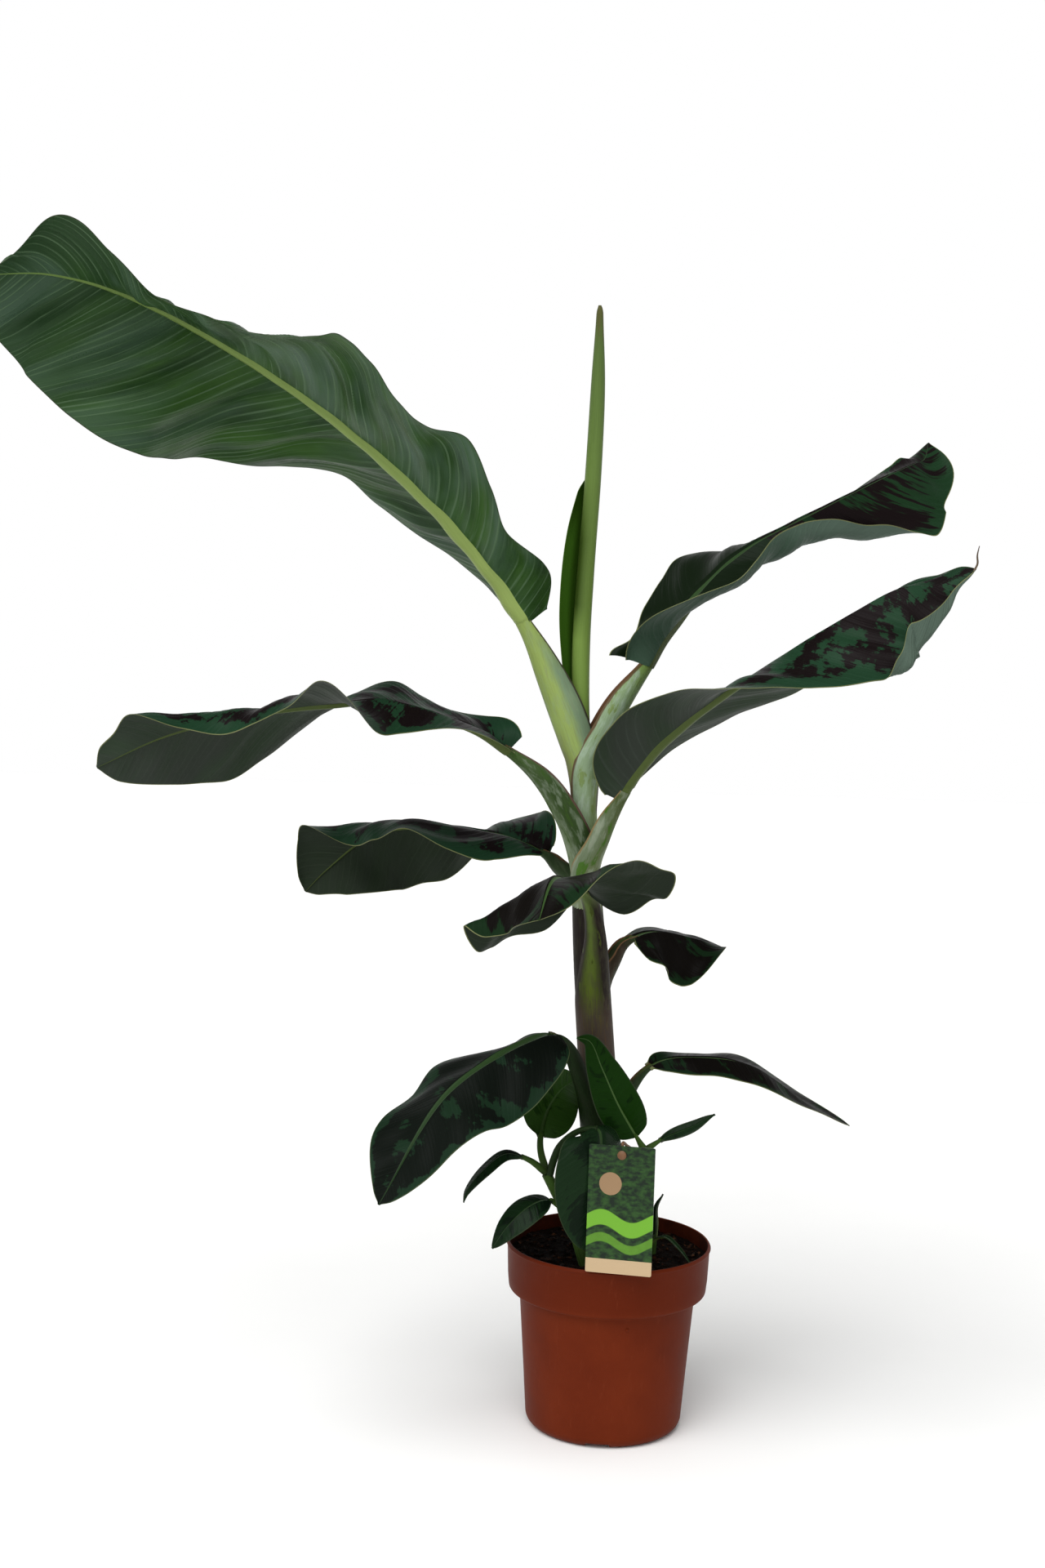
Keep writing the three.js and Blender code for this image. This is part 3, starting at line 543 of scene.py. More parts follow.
# The leaves run from the lowest to the highest, by their places in the solids: line from sheath to
# tip, stalk the share of it below the blade, wide the stalk's half-width from its foot to the blade,
# half the blade's half-width. Each half has its lift and curl along the blade, in degrees, its share
# of that width and, where the curl is kept to a fold, the shares of it where the fold starts and ends.
LEAVES = {
    "low_left": dict(
        line=[(-23, -18, 281), (-36, -26, 362), (-62, -50, 416), (-96, -75, 412), (-168, -120, 369),
              (-228, -165, 271)],
        stalk=0.36, wide=(13, 7), half=66, skew=0.8, full=0.72,
        left=((-8, -32, -42, -39, -19, -12, -19, -25), (-10, -10),
              (1.38, 1.09, 1.02, 0.98, 1, 0.99, 1, 1)),
        right=((-3, -17, -8, -1, -5, 17, 47, 55), (-10, -10),
               (0.89, 0.96, 1.01, 1, 1.02, 1.05, 1.01, 0.96)),
    ),
    "low_right": dict(
        line=[(-3, 16, 272), (15, 28, 334), (41, 40, 369), (84, 52, 375), (146, 66, 364),
              (205, 78, 325), (255, 86, 298)],
        stalk=0.3, wide=(12, 5), half=30, skew=0.8, full=0.7,
        left=((30, 0, -5, 5, 5, 10, 15, 20), FLAT, WHOLE),
        right=((-40, -40, -30, -30, -25, -15, -5, -10), FLAT, WHOLE),
    ),
    "front": dict(
        line=[(-23, -20, 433), (-25, -30, 494), (-32, -45, 546), (-42, -70, 567), (-61, -130, 587),
              (-74, -195, 590), (-84, -245, 564)],
        stalk=0.45, wide=(14, 7), half=105, skew=0.8, full=0.6, roll=(-10, -10),
        left=((-27, -1, 3, 14, 19, 30, 37, 27), FLAT, (1.03, 0.97, 1.01, 1.05, 1, 1, 1, 1.05)),
        right=((-77, -57, -56, -55, -41, -52, -56, -36), FLAT,
               (0.97, 0.95, 0.99, 1.03, 1.01, 1.02, 0.99, 0.97)),
    ),
    "small_right": dict(
        line=[(-17, 12, 440), (-7, 24, 467), (7, 42, 494), (33, 62, 504), (74, 84, 496), (114, 100, 483)],
        stalk=0.4, wide=(14, 6), half=62, skew=0.86, full=0.58,
        left=((-15, -20, -15, -5, 0, 0, 5, 5), FLAT, WHOLE),
        right=((-71, -46, -53, -52, -55, -46, -15, 9), FLAT, (0.93, 0.92, 0.96, 1, 0.99, 0.99, 0.94, 0.98)),
    ),
    "mid_left": dict(
        line=[(-50, 10, 553), (-77, 45, 585), (-106, 60, 597), (-146, 75, 604), (-205, 95, 604),
              (-261, 110, 590), (-308, 118, 551), (-331, 120, 526)],
        stalk=0.16, wide=(15, 6), half=80, skew=0.95, full=0.5,
        left=((3, -7, 5, 19, 38, 66, 95, 65), (-30, -30, -30, -30, -80, -130, -50, -20),
              (0.94, 0.99, 1.04, 1.11, 1.11, 1.08, 1.04, 0.71)),
        right=((80, 22, -7, -49, -60, -78, -100, -90), FLAT, (1, 0.96, 1.02, 1, 0.97, 0.94, 0.82, 0.56)),
    ),
    "right": dict(
        line=[(-33, -15, 530), (-31, -15, 575), (-19, -20, 620), (-1, -28, 663), (25, -38, 702),
              (67, -50, 743), (132, -66, 792), (209, -85, 845), (254, -95, 871), (290, -101, 875),
              (322, -105, 891)],
        stalk=0.24, wide=(18, 9), half=100, skew=1, full=0.5,
        left=((-25, -13, -13, -17, -22, -22, -10, 7, 20), FLAT, (0.25, 0.65, 0.95, 1, 1, 1, 1, 1, 1)),
        right=((75, 60, 45, 35, 24, 13, 3, -6, -16, -28, -42, -57, -70, -74, -75, -68, -60),
               (0, 0, 0, 0, 0, 0, 0, 0, 0, 0, 0, 20, 165, 175, 175, 170, 165),
               (1.09, 1, 0.94, 0.93, 0.94, 1.06, 1.15, 1.09, 0.99, 0.94, 0.91, 0.93, 1.22, 1.42, 1.5,
                0.48, 0.3),
               ((0, 0, 0, 0, 0, 0, 0, 0, 0.3, 0.45, 0.6, 0.8, 0.75, 0.63, 0.62, 0.64, 0.64),
                (1, 1, 1, 1, 1, 1, 1, 1, 1, 1, 1, 1, 0.88, 0.76, 0.75, 0.8, 0.8))),
    ),
    "left": dict(
        line=[(-47, -7, 535), (-50, -7, 582), (-61, -14, 631), (-85, -22, 670), (-120, -28, 701),
              (-157, -35, 722), (-242, -50, 745), (-297, -60, 740), (-374, -78, 729), (-450, -95, 707),
              (-512, -108, 676)],
        stalk=0.305, wide=(18, 16, 9), half=78, skew=0.9, full=0.55,
        left=((-4, -6, -8, -20, -35, -22, 8, 23, 24, 36, 56, 65, 75, 85, 75),
              (0, 0, 0, 0, 0, 0, 0, -10, -38, -80, -135, -120, -95, -20, 0),
              (0.81, 0.78, 0.75, 0.72, 0.68, 0.95, 1.15, 1.3, 1.05, 0.98, 0.96, 1.07, 1.45, 0.75, 1)),
        right=((65, 20, 6, 8, 13, 3, -8, -22, -34, -43, -53, -58, -65, -68, -70), FLAT,
               (1.09, 1.06, 1.03, 1, 0.99, 1, 1.01, 1.08, 1.18, 1.23, 1.26, 1.22, 1.19, 1.19, 1.2)),
    ),
    "upper_right": dict(
        line=[(-37, -1, 612), (-37, -2, 645), (-33, -2, 684), (-18, 0, 725), (8, 2, 773), (56, 10, 848),
              (109, 25, 900), (184, 50, 942), (264, 85, 983), (293, 112, 996), (307, 130, 1002),
              (314, 150, 1020)],
        stalk=0.308, wide=(18, 17, 11), half=88, skew=0.95, full=0.45,
        left=((60, 37, 13, 7, 7, -1, -10, -19, -27, -27, -23, -17, -12, -6, 3, 19, -4), FLAT,
              (0.35, 0.58, 0.84, 0.95, 0.99, 1.01, 1, 1, 1, 0.95, 0.85, 0.7, 0.58, 0.5, 0.48, 0.55, 0.8)),
        right=((72, 45, 12, -15, -38, -48, -52, -57, -61, -66, -71, -72, -69, -66, -63, -56, -45),
               (0, 16, 38, 62, 87, 108, 127, 140, 149, 153, 143, 130, 75, 18, 0, 0, 0),
               (1.01, 1.02, 1.03, 1, 0.97, 0.98, 0.99, 0.94, 0.85, 0.84, 0.89, 0.99, 1.04, 1.19, 1.12,
                0.88, 0.39),
               ((0, 0, 0, 0, 0, 0, 0, 0.08, 0.22, 0.34, 0.47, 0.53, 0.62, 0.7, 0.7, 0.7, 0.7),
                (1, 1, 1, 1, 1, 1, 1, 0.95, 0.87, 0.86, 0.9, 0.94, 1, 1, 1, 1, 1))),
    ),
    "upper_left": dict(
        line=[(-45, -4, 615), (-49, -3, 660), (-60, -3, 716), (-82, -8, 773), (-108, -15, 828),
              (-175, -35, 912), (-271, -60, 998), (-373, -110, 1066), (-476, -190, 1115),
              (-534, -240, 1126), (-585, -276, 1120)],
        stalk=0.25, wide=(21, 20, 10.5), half=132, skew=1.35, full=0.45,
        left=((85, 34, 16, 20, 20, 9, 8, 15, 13, 5, -2, -5, -3, 21, 32, 10), FLAT,
              (1.22, 1.19, 0.89, 0.98, 1.1, 1.04, 1, 0.95, 1.08, 1.19, 1.15, 0.82, 0.58, 0.61, 1.07, 1.35)),
        right=((5, 6, 0, -6, -5, -7, -19, -37, -47, -69, -84, -85, -77, -70, -62, -52), FLAT,
               (1.23, 1.03, 0.91, 0.92, 0.99, 0.88, 0.99, 0.9, 0.94, 0.92, 0.98, 1.04, 1.06, 1.08,
                1.15, 1.25)),
    ),
}


def leaf_frame(leaf, line, share):
    """Right-hand, upper and forward directions of a leaf at shares of its line."""
    points = leaf["line"]
    first, last = np.array(points[len(points) // 3]), np.array(points[-1])
    level_side = unit(np.array([last[1] - first[1], first[0] - last[0], 0.0]))
    forward = heading_at(line, share)
    side = unit(level_side - (forward @ level_side)[:, None] * forward)
    blade_share = np.clip((share - leaf["stalk"]) / (1 - leaf["stalk"]), 0, 1)
    roll = np.radians(along(leaf.get("roll", LEVEL), blade_share))[:, None]
    side = side * np.cos(roll) + np.cross(forward, side) * np.sin(roll)
    return side, np.cross(side, forward), forward


def mixed(first, second, share):
    return first + (second - first) * np.asarray(share)[..., None]


def there_and_back(values):
    """Values across one face, then back across the other."""
    return np.concatenate([values, values[:, ::-1]], 1)


def sheath_skin(leaf, foot, order, turn):
    """Rings of a sheath that opens into a channelled stalk, with its maps along and across."""
    line = smooth_line(leaf["line"])
    total = line[1][-1]
    below = np.arange(foot, leaf["line"][0][2] - 1, SHEATH_STEP)
    steps = max(int(leaf["stalk"] * total / SHEATH_STEP), 12)
    share = np.linspace(0, leaf["stalk"] + STALK_OVERLAP / total, steps)
    side, up, forward = leaf_frame(leaf, line, share)
    middle = point_at(line, share)
    t = share / share[-1]
    wide = along(leaf["wide"], t)
    outer = STALK_OUTER[0] + (STALK_OUTER[1] - STALK_OUTER[0]) * t
    free = ease(t, *STALK_FREE)
    stalk_centre = middle + up * (wide * (1 - outer))[:, None]
    away = point_at(line, np.array([STALK_AIM * leaf["stalk"]]))[0] - stem_centre(middle[:1, 2])[0]
    away[2] = 0
    away = unit(away)
    nest = SHEATH_NEST * order
    bundle = np.maximum(stem_radius(middle[:, 2]), BUNDLE_RADIUS) - nest
    wrap = np.radians(along((SHEATH_WRAP, SHEATH_WRAP, STALK_WRAP, STALK_WRAP, BLADE_WRAP), t))
    thick = SHEATH_WALL + (STALK_FILL * wide - SHEATH_WALL) * ease(t, *STALK_SWELL)
    centre = np.vstack([stem_centre(below), mixed(stem_centre(middle[:, 2]), stalk_centre, free)])
    radius = np.concatenate([stem_radius(below) - nest, bundle + (wide - bundle) * free])
    out = unit(mixed(np.broadcast_to(away, up.shape), -up, free))
    out = np.vstack([np.broadcast_to(away, (len(below), 3)), out])
    rise = np.vstack([heading_at(stem_line, np.linspace(0, 1, len(below))), forward])
    wrap = np.concatenate([np.full(len(below), np.radians(SHEATH_WRAP)), wrap])
    thick = np.concatenate([np.full(len(below), SHEATH_WALL), thick])
    out = unit(out - np.sum(out * rise, -1, keepdims=True) * rise)
    across = np.cross(out, rise)
    k = np.linspace(-1, 1, SHEATH_SIDES)
    angle = wrap[:, None] * k
    freed = np.concatenate([np.zeros(len(below)), ease(t, *TURN_GROWS)])
    bearing = angle + math.radians(turn) * freed[:, None]
    swing = np.cos(bearing)[..., None] * out[:, None] + np.sin(bearing)[..., None] * across[:, None]
    wall = SHEATH_EDGE + (thick[:, None] - SHEATH_EDGE) * (1 - np.abs(k) ** WALL_TAPER)
    outside = centre[:, None] + swing * radius[:, None, None]
    inside = centre[:, None] + swing * (radius[:, None] - wall)[..., None]
    rings = np.concatenate([outside, inside[:, ::-1]], 1)
    from_foot = below - leaf["line"][0][2]
    run = np.concatenate([from_foot, share * total])
    grown = np.concatenate([from_foot / SHEATH_RUN, t])
    maps = {
        "run": there_and_back(paired(run[:, None], angle * radius[:, None]) / MAP_UNIT),
        "share": there_and_back(paired(grown[:, None], k)),
    }
    return rings, maps


def ladder(start, count):
    """Faces that close a ring whose second half runs back along its first."""
    k = np.arange(count // 2 - 1)
    m = count - 1 - k
    return np.stack([start + k, start + k + 1, start + m - 1, start + m], -1)


def closed_skin(rings, count):
    return np.concatenate([skin(rings, count), ladder(0, count), ladder((rings - 1) * count, count)])


def ring_piece(name, rings, maps, finishes, strip=(0,), end=0):
    """A piece from rings closed at both ends, with a finish for each strip along it and for its ends."""
    count = rings.shape[1]
    finish_of = np.concatenate([np.resize(strip, count * (len(rings) - 1)), np.full(count - 2, end)])
    return piece_of(name, rings, closed_skin(len(rings), count), finishes, finish_of, maps)


def sheath_finish(name, foot, keel, top, wall, bloom, rubbed, edge, aged=(-0.5, -0.05), waxy=0.5,
                  spine=(0.55, 0.9), base=None, blush=None, rub=0.42, grain=2.6, lean=0.0):
    """Fleshy sheath: keel to wall across it, waxy bloom, rubbed streaks, any blush, aged foot, dry edges,
    and any painted shade (base) on its lowest part.
    """
    finish = Finish(name, 0.45, 0.07)
    place = finish.map("run")
    share = finish.map("share")
    lengthwise = share.part(0) * 0.5 + 0.5
    across = share.part(1)
    streak = place.stretched(0.9, 14.0).noise(5.0, 4.0, 0.6)
    patch = place.stretched(1.6, 5.0).noise(grain, 4.0, 0.6)
    ridge = lengthwise.ramp((0.55, keel), (0.95, top))
    from_keel = patch * 0.3 + 0.1 + abs(across + lean)
    flank = from_keel.ramp((spine[0], 0.0), (spine[1], 1.0))
    below_blade = lengthwise.ramp((0.86, 1.0), (0.97, 0.0))
    flesh = (flank * below_blade).blend(ridge, wall)
    waxed = patch.ramp((0.5, 0.0), (0.62, waxy)).blend(flesh, bloom)
    worn = patch.ramp((rub - 0.05, 0.9), (rub, 0.0)).blend(waxed, rubbed)
    if blush:
        one_side = (across * 0.5 + 0.5).ramp((0.3, 0.0), (0.52, 1.0))
        low_part = lengthwise.ramp((0.58, 0.9), (0.75, 0.0))
        worn = (one_side * low_part).blend(worn, blush)
    old, young = (0.5 + 0.5 * height for height in aged)
    aging = (streak * 0.2 + lengthwise - 0.1).ramp((old, 1.0), (young, 0.0))
    # Painted shade: where base is given, the lowest part of the sheath turns to that near-black colour for
    # the shade the leaves and suckers cast there.
    below = lengthwise.ramp((0.27, base or foot), (0.37, foot))
    below = streak.ramp((0.5, 0.0), (0.66, 0.5)).blend(below, edge)
    lined = streak.ramp((0.35, 0.16), (0.52, 0.0)).blend(aging.blend(worn, below), below)
    dry = (streak * 0.12 + abs(across)).ramp((0.97, 0.0), (1.04, 0.9))
    finish.colour(dry.blend(lined, edge))
    finish.rough(patch, 0.36, 0.62)
    finish.relief(streak, 0.0004)
    return finish


DRY_EDGE = (0.11, 0.05, 0.024)
# In these looks base is painted shade: the near-black of a sheath's lowest part, shaded by the leaves and
# suckers above.
STALK_LOOKS = {
    "front_stalk": dict(
        foot=(0.05, 0.036, 0.027), keel=(0.07, 0.1, 0.009), top=(0.085, 0.13, 0.032),
        wall=(0.011, 0.0072, 0.005), bloom=(0.06, 0.06, 0.03), rubbed=(0.04, 0.055, 0.007),
        edge=DRY_EDGE, aged=(-0.06, 0.16), waxy=0.3, spine=(0.3, 0.55), base=(0.0035, 0.0026, 0.0024),
    ),
    "brown_stalk": dict(
        foot=(0.022, 0.0125, 0.0085), keel=(0.026, 0.03, 0.01), top=(0.02, 0.036, 0.01),
        wall=(0.024, 0.018, 0.01), bloom=(0.055, 0.04, 0.028), rubbed=(0.024, 0.024, 0.01),
        edge=(0.13, 0.07, 0.035), aged=(-0.3, 0.0), base=(0.008, 0.0055, 0.005),
    ),
    "deep_stalk": dict(
        foot=(0.008, 0.006, 0.005), keel=(0.012, 0.025, 0.007), top=(0.012, 0.027, 0.007),
        wall=(0.009, 0.016, 0.006), bloom=(0.018, 0.026, 0.012), rubbed=(0.008, 0.018, 0.005),
        edge=(0.02, 0.02, 0.01),
    ),
    "green_stalk": dict(
        foot=(0.011, 0.0075, 0.0065), keel=(0.02, 0.04, 0.011), top=(0.018, 0.038, 0.01),
        wall=(0.014, 0.026, 0.009), bloom=(0.036, 0.05, 0.026), rubbed=(0.012, 0.028, 0.007),
        edge=(0.03, 0.028, 0.014), aged=(-0.05, 0.08),
    ),
    "left_stalk": dict(
        foot=(0.022, 0.015, 0.013), keel=(0.17, 0.22, 0.125), top=(0.05, 0.09, 0.026),
        wall=(0.032, 0.06, 0.017), bloom=(0.22, 0.27, 0.19), rubbed=(0.035, 0.075, 0.014),
        edge=(0.095, 0.05, 0.042), aged=(-0.12, 0.0), spine=(0.42, 0.72),
    ),
    "right_stalk": dict(
        foot=(0.035, 0.021, 0.013), keel=(0.15, 0.19, 0.09), top=(0.06, 0.085, 0.025),
        wall=(0.13, 0.17, 0.1), bloom=(0.24, 0.28, 0.2), rubbed=(0.045, 0.12, 0.01),
        edge=(0.2, 0.14, 0.06), aged=(-0.12, 0.0), waxy=0.8, rub=0.45, grain=1.5,
    ),
    "pale_stalk": dict(
        foot=(0.08, 0.055, 0.03), keel=(0.19, 0.26, 0.09), top=(0.16, 0.26, 0.06),
        wall=(0.23, 0.32, 0.19), bloom=(0.33, 0.42, 0.32), rubbed=(0.16, 0.23, 0.07),
        edge=(0.09, 0.045, 0.022), aged=(-1.0, -0.7), waxy=0.6, spine=(0.45, 0.8),
    ),
    "upper_stalk": dict(
        foot=(0.13, 0.05, 0.022), keel=(0.29, 0.395, 0.12), top=(0.27, 0.36, 0.1),
        wall=(0.17, 0.25, 0.15), bloom=(0.26, 0.35, 0.19), rubbed=(0.25, 0.34, 0.09),
        edge=(0.035, 0.022, 0.014), aged=(-0.15, 0.25), waxy=0.3, spine=(0.45, 0.7),
        blush=(0.11, 0.055, 0.032), rub=0.33, lean=0.22,
    ),
    "inner_stalk": dict(
        foot=(0.04, 0.022, 0.013), keel=(0.07, 0.06, 0.02), top=(0.08, 0.1, 0.03),
        wall=(0.06, 0.05, 0.018), bloom=(0.1, 0.09, 0.04), rubbed=(0.05, 0.055, 0.016), edge=DRY_EDGE,
    ),
    "inner_green": dict(
        foot=(0.014, 0.012, 0.006), keel=(0.03, 0.04, 0.012), top=(0.06, 0.09, 0.022),
        wall=(0.022, 0.03, 0.009), bloom=(0.05, 0.06, 0.022), rubbed=(0.02, 0.03, 0.008), edge=DRY_EDGE,
    ),
}
SHEATH_FACES = {
    "low_left": ("deep_stalk", "inner_green"), "low_right": ("green_stalk", "inner_green"),
    "front": ("front_stalk", "inner_stalk"), "small_right": ("brown_stalk", "inner_green"),
    "mid_left": ("green_stalk", "inner_green"), "right": ("right_stalk", "inner_stalk"),
    "left": ("left_stalk", "inner_stalk"), "upper_right": ("pale_stalk", "inner_green"),
    "upper_left": ("upper_stalk", "inner_stalk"),
}
looks = {label: sheath_finish(label, **look) for label, look in STALK_LOOKS.items()}
for order, (name, leaf) in enumerate(LEAVES.items()):
    rings, maps = sheath_skin(leaf, SHEATH_FEET[name], order, STALK_TURN.get(name, 0))
    finishes = [looks[label] for label in SHEATH_FACES[name]]
    sheath = ring_piece("sheath_" + name, rings, maps, finishes, np.repeat([0, 1], SHEATH_SIDES))
    settle(sheath, "stalk", "stalk_" + name)


# Leaf blades
# Two thin halves that lift and curl along a keeled rib, pleated by close side veins. Above they are
# dark green with maroon patches, below dull grey-green, with a fine pale line all round the edge.
BLADE_STEP = 2.2
BLADE_COLUMNS = 20
FINE_COLUMNS = {"upper_left": 44, "right": 30, "left": 30, "upper_right": 30}
BLADE_THICK = 0.5
BLADE_START = 0.015
BLADE_SPAN = 0.984
BLADE_LEAST = 0.6
BLADE_RINGS = 28
ENDS_CLOSER = 0.3
EDGE_LINE = 0.9
EDGE_MOST = 0.2
RIB_POINTS = 7
RIB_TAPER = 0.9
RIB_LEAST = 0.5
RIB_MOST = 0.85
RIB_BLEND = 0.8
RIB_SHARE = 0.02
RIB_GROOVE = 0.3
RIB_KEEL = 0.85
VEIN_PITCH = 9.0
VEIN_SLANT = 0.3
VEIN_SWEEP = 0.9
VEIN_BEND = 0.35
VEIN_DEPTH = 0.5
VEIN_LEVEL = 0.6
VEIN_FROM_RIB = 12
VEIN_FROM_EDGE = (2, 14)
VEIN_SWAY = 3
VEIN_SWAY_RUN = 37
RIPPLE = 0.007
RIPPLE_PITCHES = (118, 67, 41)
RIPPLE_GROWS = 2.5
RIPPLE_SPREAD = (0.85, 1.15)
PUCKER = 2.6
PUCKER_PITCHES = (83, 47)
PUCKER_SECOND = 0.7
PUCKER_WIDTH = 90
PUCKER_FADE = 1.5
QUILTED = {"upper_left": (0.9, 4.2)}
BROAD_RIBS = ("low_left",)
BASE_ROUND = 0.06
TIP_ROUND = 0.03
FLARE_REACH = 0.032
LOBE_REACH = 0.12
LOBE_GROWS = 1.3
MAP_SHIFT = 9
LOBES = {
    "upper_left": ((0, 1.3, 0), (0, 0, 0)), "upper_right": ((16, 1, 26), (12, 1, 0)),
    "right": ((0, 0.3, 0), (9, 0.6, 0)), "left": ((4, 0.4, 0), (3, 0.95, 0)),
    "mid_left": ((4, 0.6, 0), (4, 0.6, 0)), "low_left": ((3, 0.5, 0), (3, 0.5, 0)),
    "sucker_broad": ((10, 0.9, 0), (10, 0.9, 0)),
}
PLAIN_BASE = ((0, 0, 0), (0, 0, 0))
PLAIN_CURL = ((0, 0), (1, 1))
THREAD_LINE = [(320, -105, 889), (323, -105, 896), (322.5, -105, 904), (324, -105, 913)]
THREAD_RADII = (1.1, 0.9, 0.4)
THREAD_SIDES = 8
THREAD_STEP = 0.8
LIMB_LINES = 5
LIMB_RELIEF = 0.03
TOP, EDGE, UNDER, GROOVE, KEEL = range(5)


def half_width(leaf, t):
    swell = np.sin(np.pi * (BLADE_START + BLADE_SPAN * t) ** leaf["skew"])
    return leaf["half"] * np.maximum(swell, 0) ** leaf["full"]


def blade_skin(leaf, seed, step, columns, lobes=PLAIN_BASE, pleat=VEIN_DEPTH, bulging=PUCKER):
    """Rings of a blade, with the finish of each of their strips and the maps along and across."""
    line = smooth_line(leaf["line"])
    length = line[1][-1] * (1 - leaf["stalk"])
    count = max(int(length / step), BLADE_RINGS)
    even = np.linspace(0, 1, count)
    t = (1 - ENDS_CLOSER) * even + ENDS_CLOSER * (0.5 - 0.5 * np.cos(np.pi * even))
    share = leaf["stalk"] + (1 - leaf["stalk"]) * t
    side, up, forward = leaf_frame(leaf, line, share)
    centre = point_at(line, share)
    rib = leaf["wide"][-1] * (1 - t) ** RIB_TAPER + RIB_LEAST
    base = np.sqrt(1 - (1 - np.clip(t / BASE_ROUND, 0, 1)) ** 2)
    tip = np.sqrt(1 - np.clip((t - 1 + TIP_ROUND) / TIP_ROUND, 0, 1) ** 2)
    halves = {1: leaf["right"], -1: leaf["left"]}
    backs, starts, flares = ({1: right, -1: left} for left, right in zip(*lobes))
    widths = {}
    for hand, half in halves.items():
        rounded = starts[hand] + (1 - starts[hand]) * base
        width = half_width(leaf, t) * along(half[2], t) * rounded * tip
        width = width + flares[hand] * np.exp(-((t / FLARE_REACH) ** 2))
        widths[hand] = np.maximum(rib + BLADE_LEAST, width)
    rib = np.minimum(rib, RIB_MOST * np.minimum(widths[1], widths[-1]))
    draw = np.random.default_rng(seed)
    tops, unders, outs, spans = {}, {}, {}, {}
    for hand, half in halves.items():
        width = widths[hand]
        edge = np.minimum(EDGE_LINE, EDGE_MOST * width)
        spread = np.linspace(0, 1, columns - 1)
        inner = rib / width
        q = inner[:, None] + (1 - edge / width - inner)[:, None] * spread
        q = np.concatenate([q, np.ones((count, 1))], 1)
        lift = np.radians(along(half[0], t))[:, None]
        curl = np.radians(along(half[1], t))[:, None]
        curl = np.where(np.abs(curl) < 1e-4, 1e-4, curl)
        fold = half[3] if len(half) > 3 else PLAIN_CURL
        low, high = (along(stations, t)[:, None] for stations in fold)
        bend = curl / (high - low)
        angle = lift + bend * np.clip(q - low, 0, high - low)
        before, beyond = np.minimum(q, low), np.maximum(q - high, 0)
        w = width[:, None]
        out = w * (before * np.cos(lift) + (np.sin(angle) - np.sin(lift)) / bend + beyond * np.cos(angle))
        rise = w * (before * np.sin(lift) + (np.cos(lift) - np.cos(angle)) / bend + beyond * np.sin(angle))
        joined = 1 - ease((q - inner[:, None]) / (1 - inner[:, None]), 0, RIB_BLEND)
        out = out + (rib[:, None] - out[:, :1]) * joined
        rise = rise - rise[:, :1] * joined
        normal = up[:, None] * np.cos(angle)[..., None] - hand * side[:, None] * np.sin(angle)[..., None]
        sheet = centre[:, None] + hand * side[:, None] * out[..., None] + up[:, None] * rise[..., None]
        back = backs[hand] * q**LOBE_GROWS * np.clip(1 - t / LOBE_REACH, 0, 1)[:, None] ** 2
        sheet = sheet - forward[:, None] * back[..., None]
        s = (t * length)[:, None]
        wave = np.zeros_like(q)
        for pitch in RIPPLE_PITCHES:
            turns = s / (pitch * draw.uniform(*RIPPLE_SPREAD))
            wave += np.sin(2 * np.pi * turns + draw.uniform(0, 6.3)) * pitch / RIPPLE_PITCHES[0]
        slant = VEIN_SLANT + VEIN_SWEEP * t[:, None] ** 2
        along_vein = s - slant * q * w - VEIN_BEND / MAP_UNIT * (q * w) ** 2
        swayed = along_vein + VEIN_SWAY * np.sin(along_vein / VEIN_SWAY_RUN)
        vein = np.abs(np.sin(np.pi * swayed / VEIN_PITCH))
        bulge = np.sin(2 * np.pi * along_vein / PUCKER_PITCHES[0] + draw.uniform(0, 6.3))
        second = np.sin(2 * np.pi * along_vein / PUCKER_PITCHES[1] + draw.uniform(0, 6.3))
        bulge += PUCKER_SECOND * second
        pucker = bulging * np.minimum(w / PUCKER_WIDTH, 1) * bulge * np.sin(np.pi * q) ** PUCKER_FADE
        pleats = pleat * (vein - VEIN_LEVEL) * ease(q * w, rib[:, None], rib[:, None] + VEIN_FROM_RIB)
        pleats = pleats * ease(w - q * w, *VEIN_FROM_EDGE)
        sheet = sheet + normal * (RIPPLE * w * q**RIPPLE_GROWS * wave + pleats + pucker)[..., None]
        tops[hand] = sheet + normal * BLADE_THICK / 2
        unders[hand] = sheet - normal * BLADE_THICK / 2
        outs[hand] = hand * q
        spans[hand] = hand * q * w
    k = np.linspace(1, -1, RIB_POINTS + 2)[1:-1]
    cross_share = np.broadcast_to((1 - k) / 2, (count, RIB_POINTS))
    groove = mixed(tops[1][:, :1], tops[-1][:, :1], cross_share)
    groove = groove - up[:, None] * (RIB_GROOVE * rib[:, None] * (1 - k**2))[..., None]
    keel = mixed(unders[-1][:, :1], unders[1][:, :1], cross_share)
    keel = keel - up[:, None] * (RIB_KEEL * rib[:, None] * np.sqrt(1 - k**2))[..., None]

    def round_blade(over, groove, under, keel):
        """Values round the blade: over it from right to left, and back under it."""
        return np.concatenate([over[1][:, ::-1], groove, over[-1], under[-1][:, ::-1], keel, under[1]], 1)

    rings = round_blade(tops, groove, unders, keel)
    rib_share = np.broadcast_to(RIB_SHARE * k, (count, RIB_POINTS))
    rib_span = k * rib[:, None]
    across = round_blade(outs, rib_share, outs, -rib_share)
    span = round_blade(spans, rib_span, spans, -rib_span)
    plain = columns - 2
    strip = [EDGE] + [TOP] * (plain + 2) + [GROOVE] * (RIB_POINTS - 3) + [TOP] * (plain + 2) + [EDGE] * 3
    strip += [UNDER] * plain + [KEEL] * (RIB_POINTS + 1) + [UNDER] * plain + [EDGE] * 2
    lengthwise = (t * length)[:, None] / MAP_UNIT + MAP_SHIFT * seed
    maps = {"run": paired(lengthwise, span / MAP_UNIT), "share": paired(t[:, None], across)}
    return rings, np.array(strip), maps


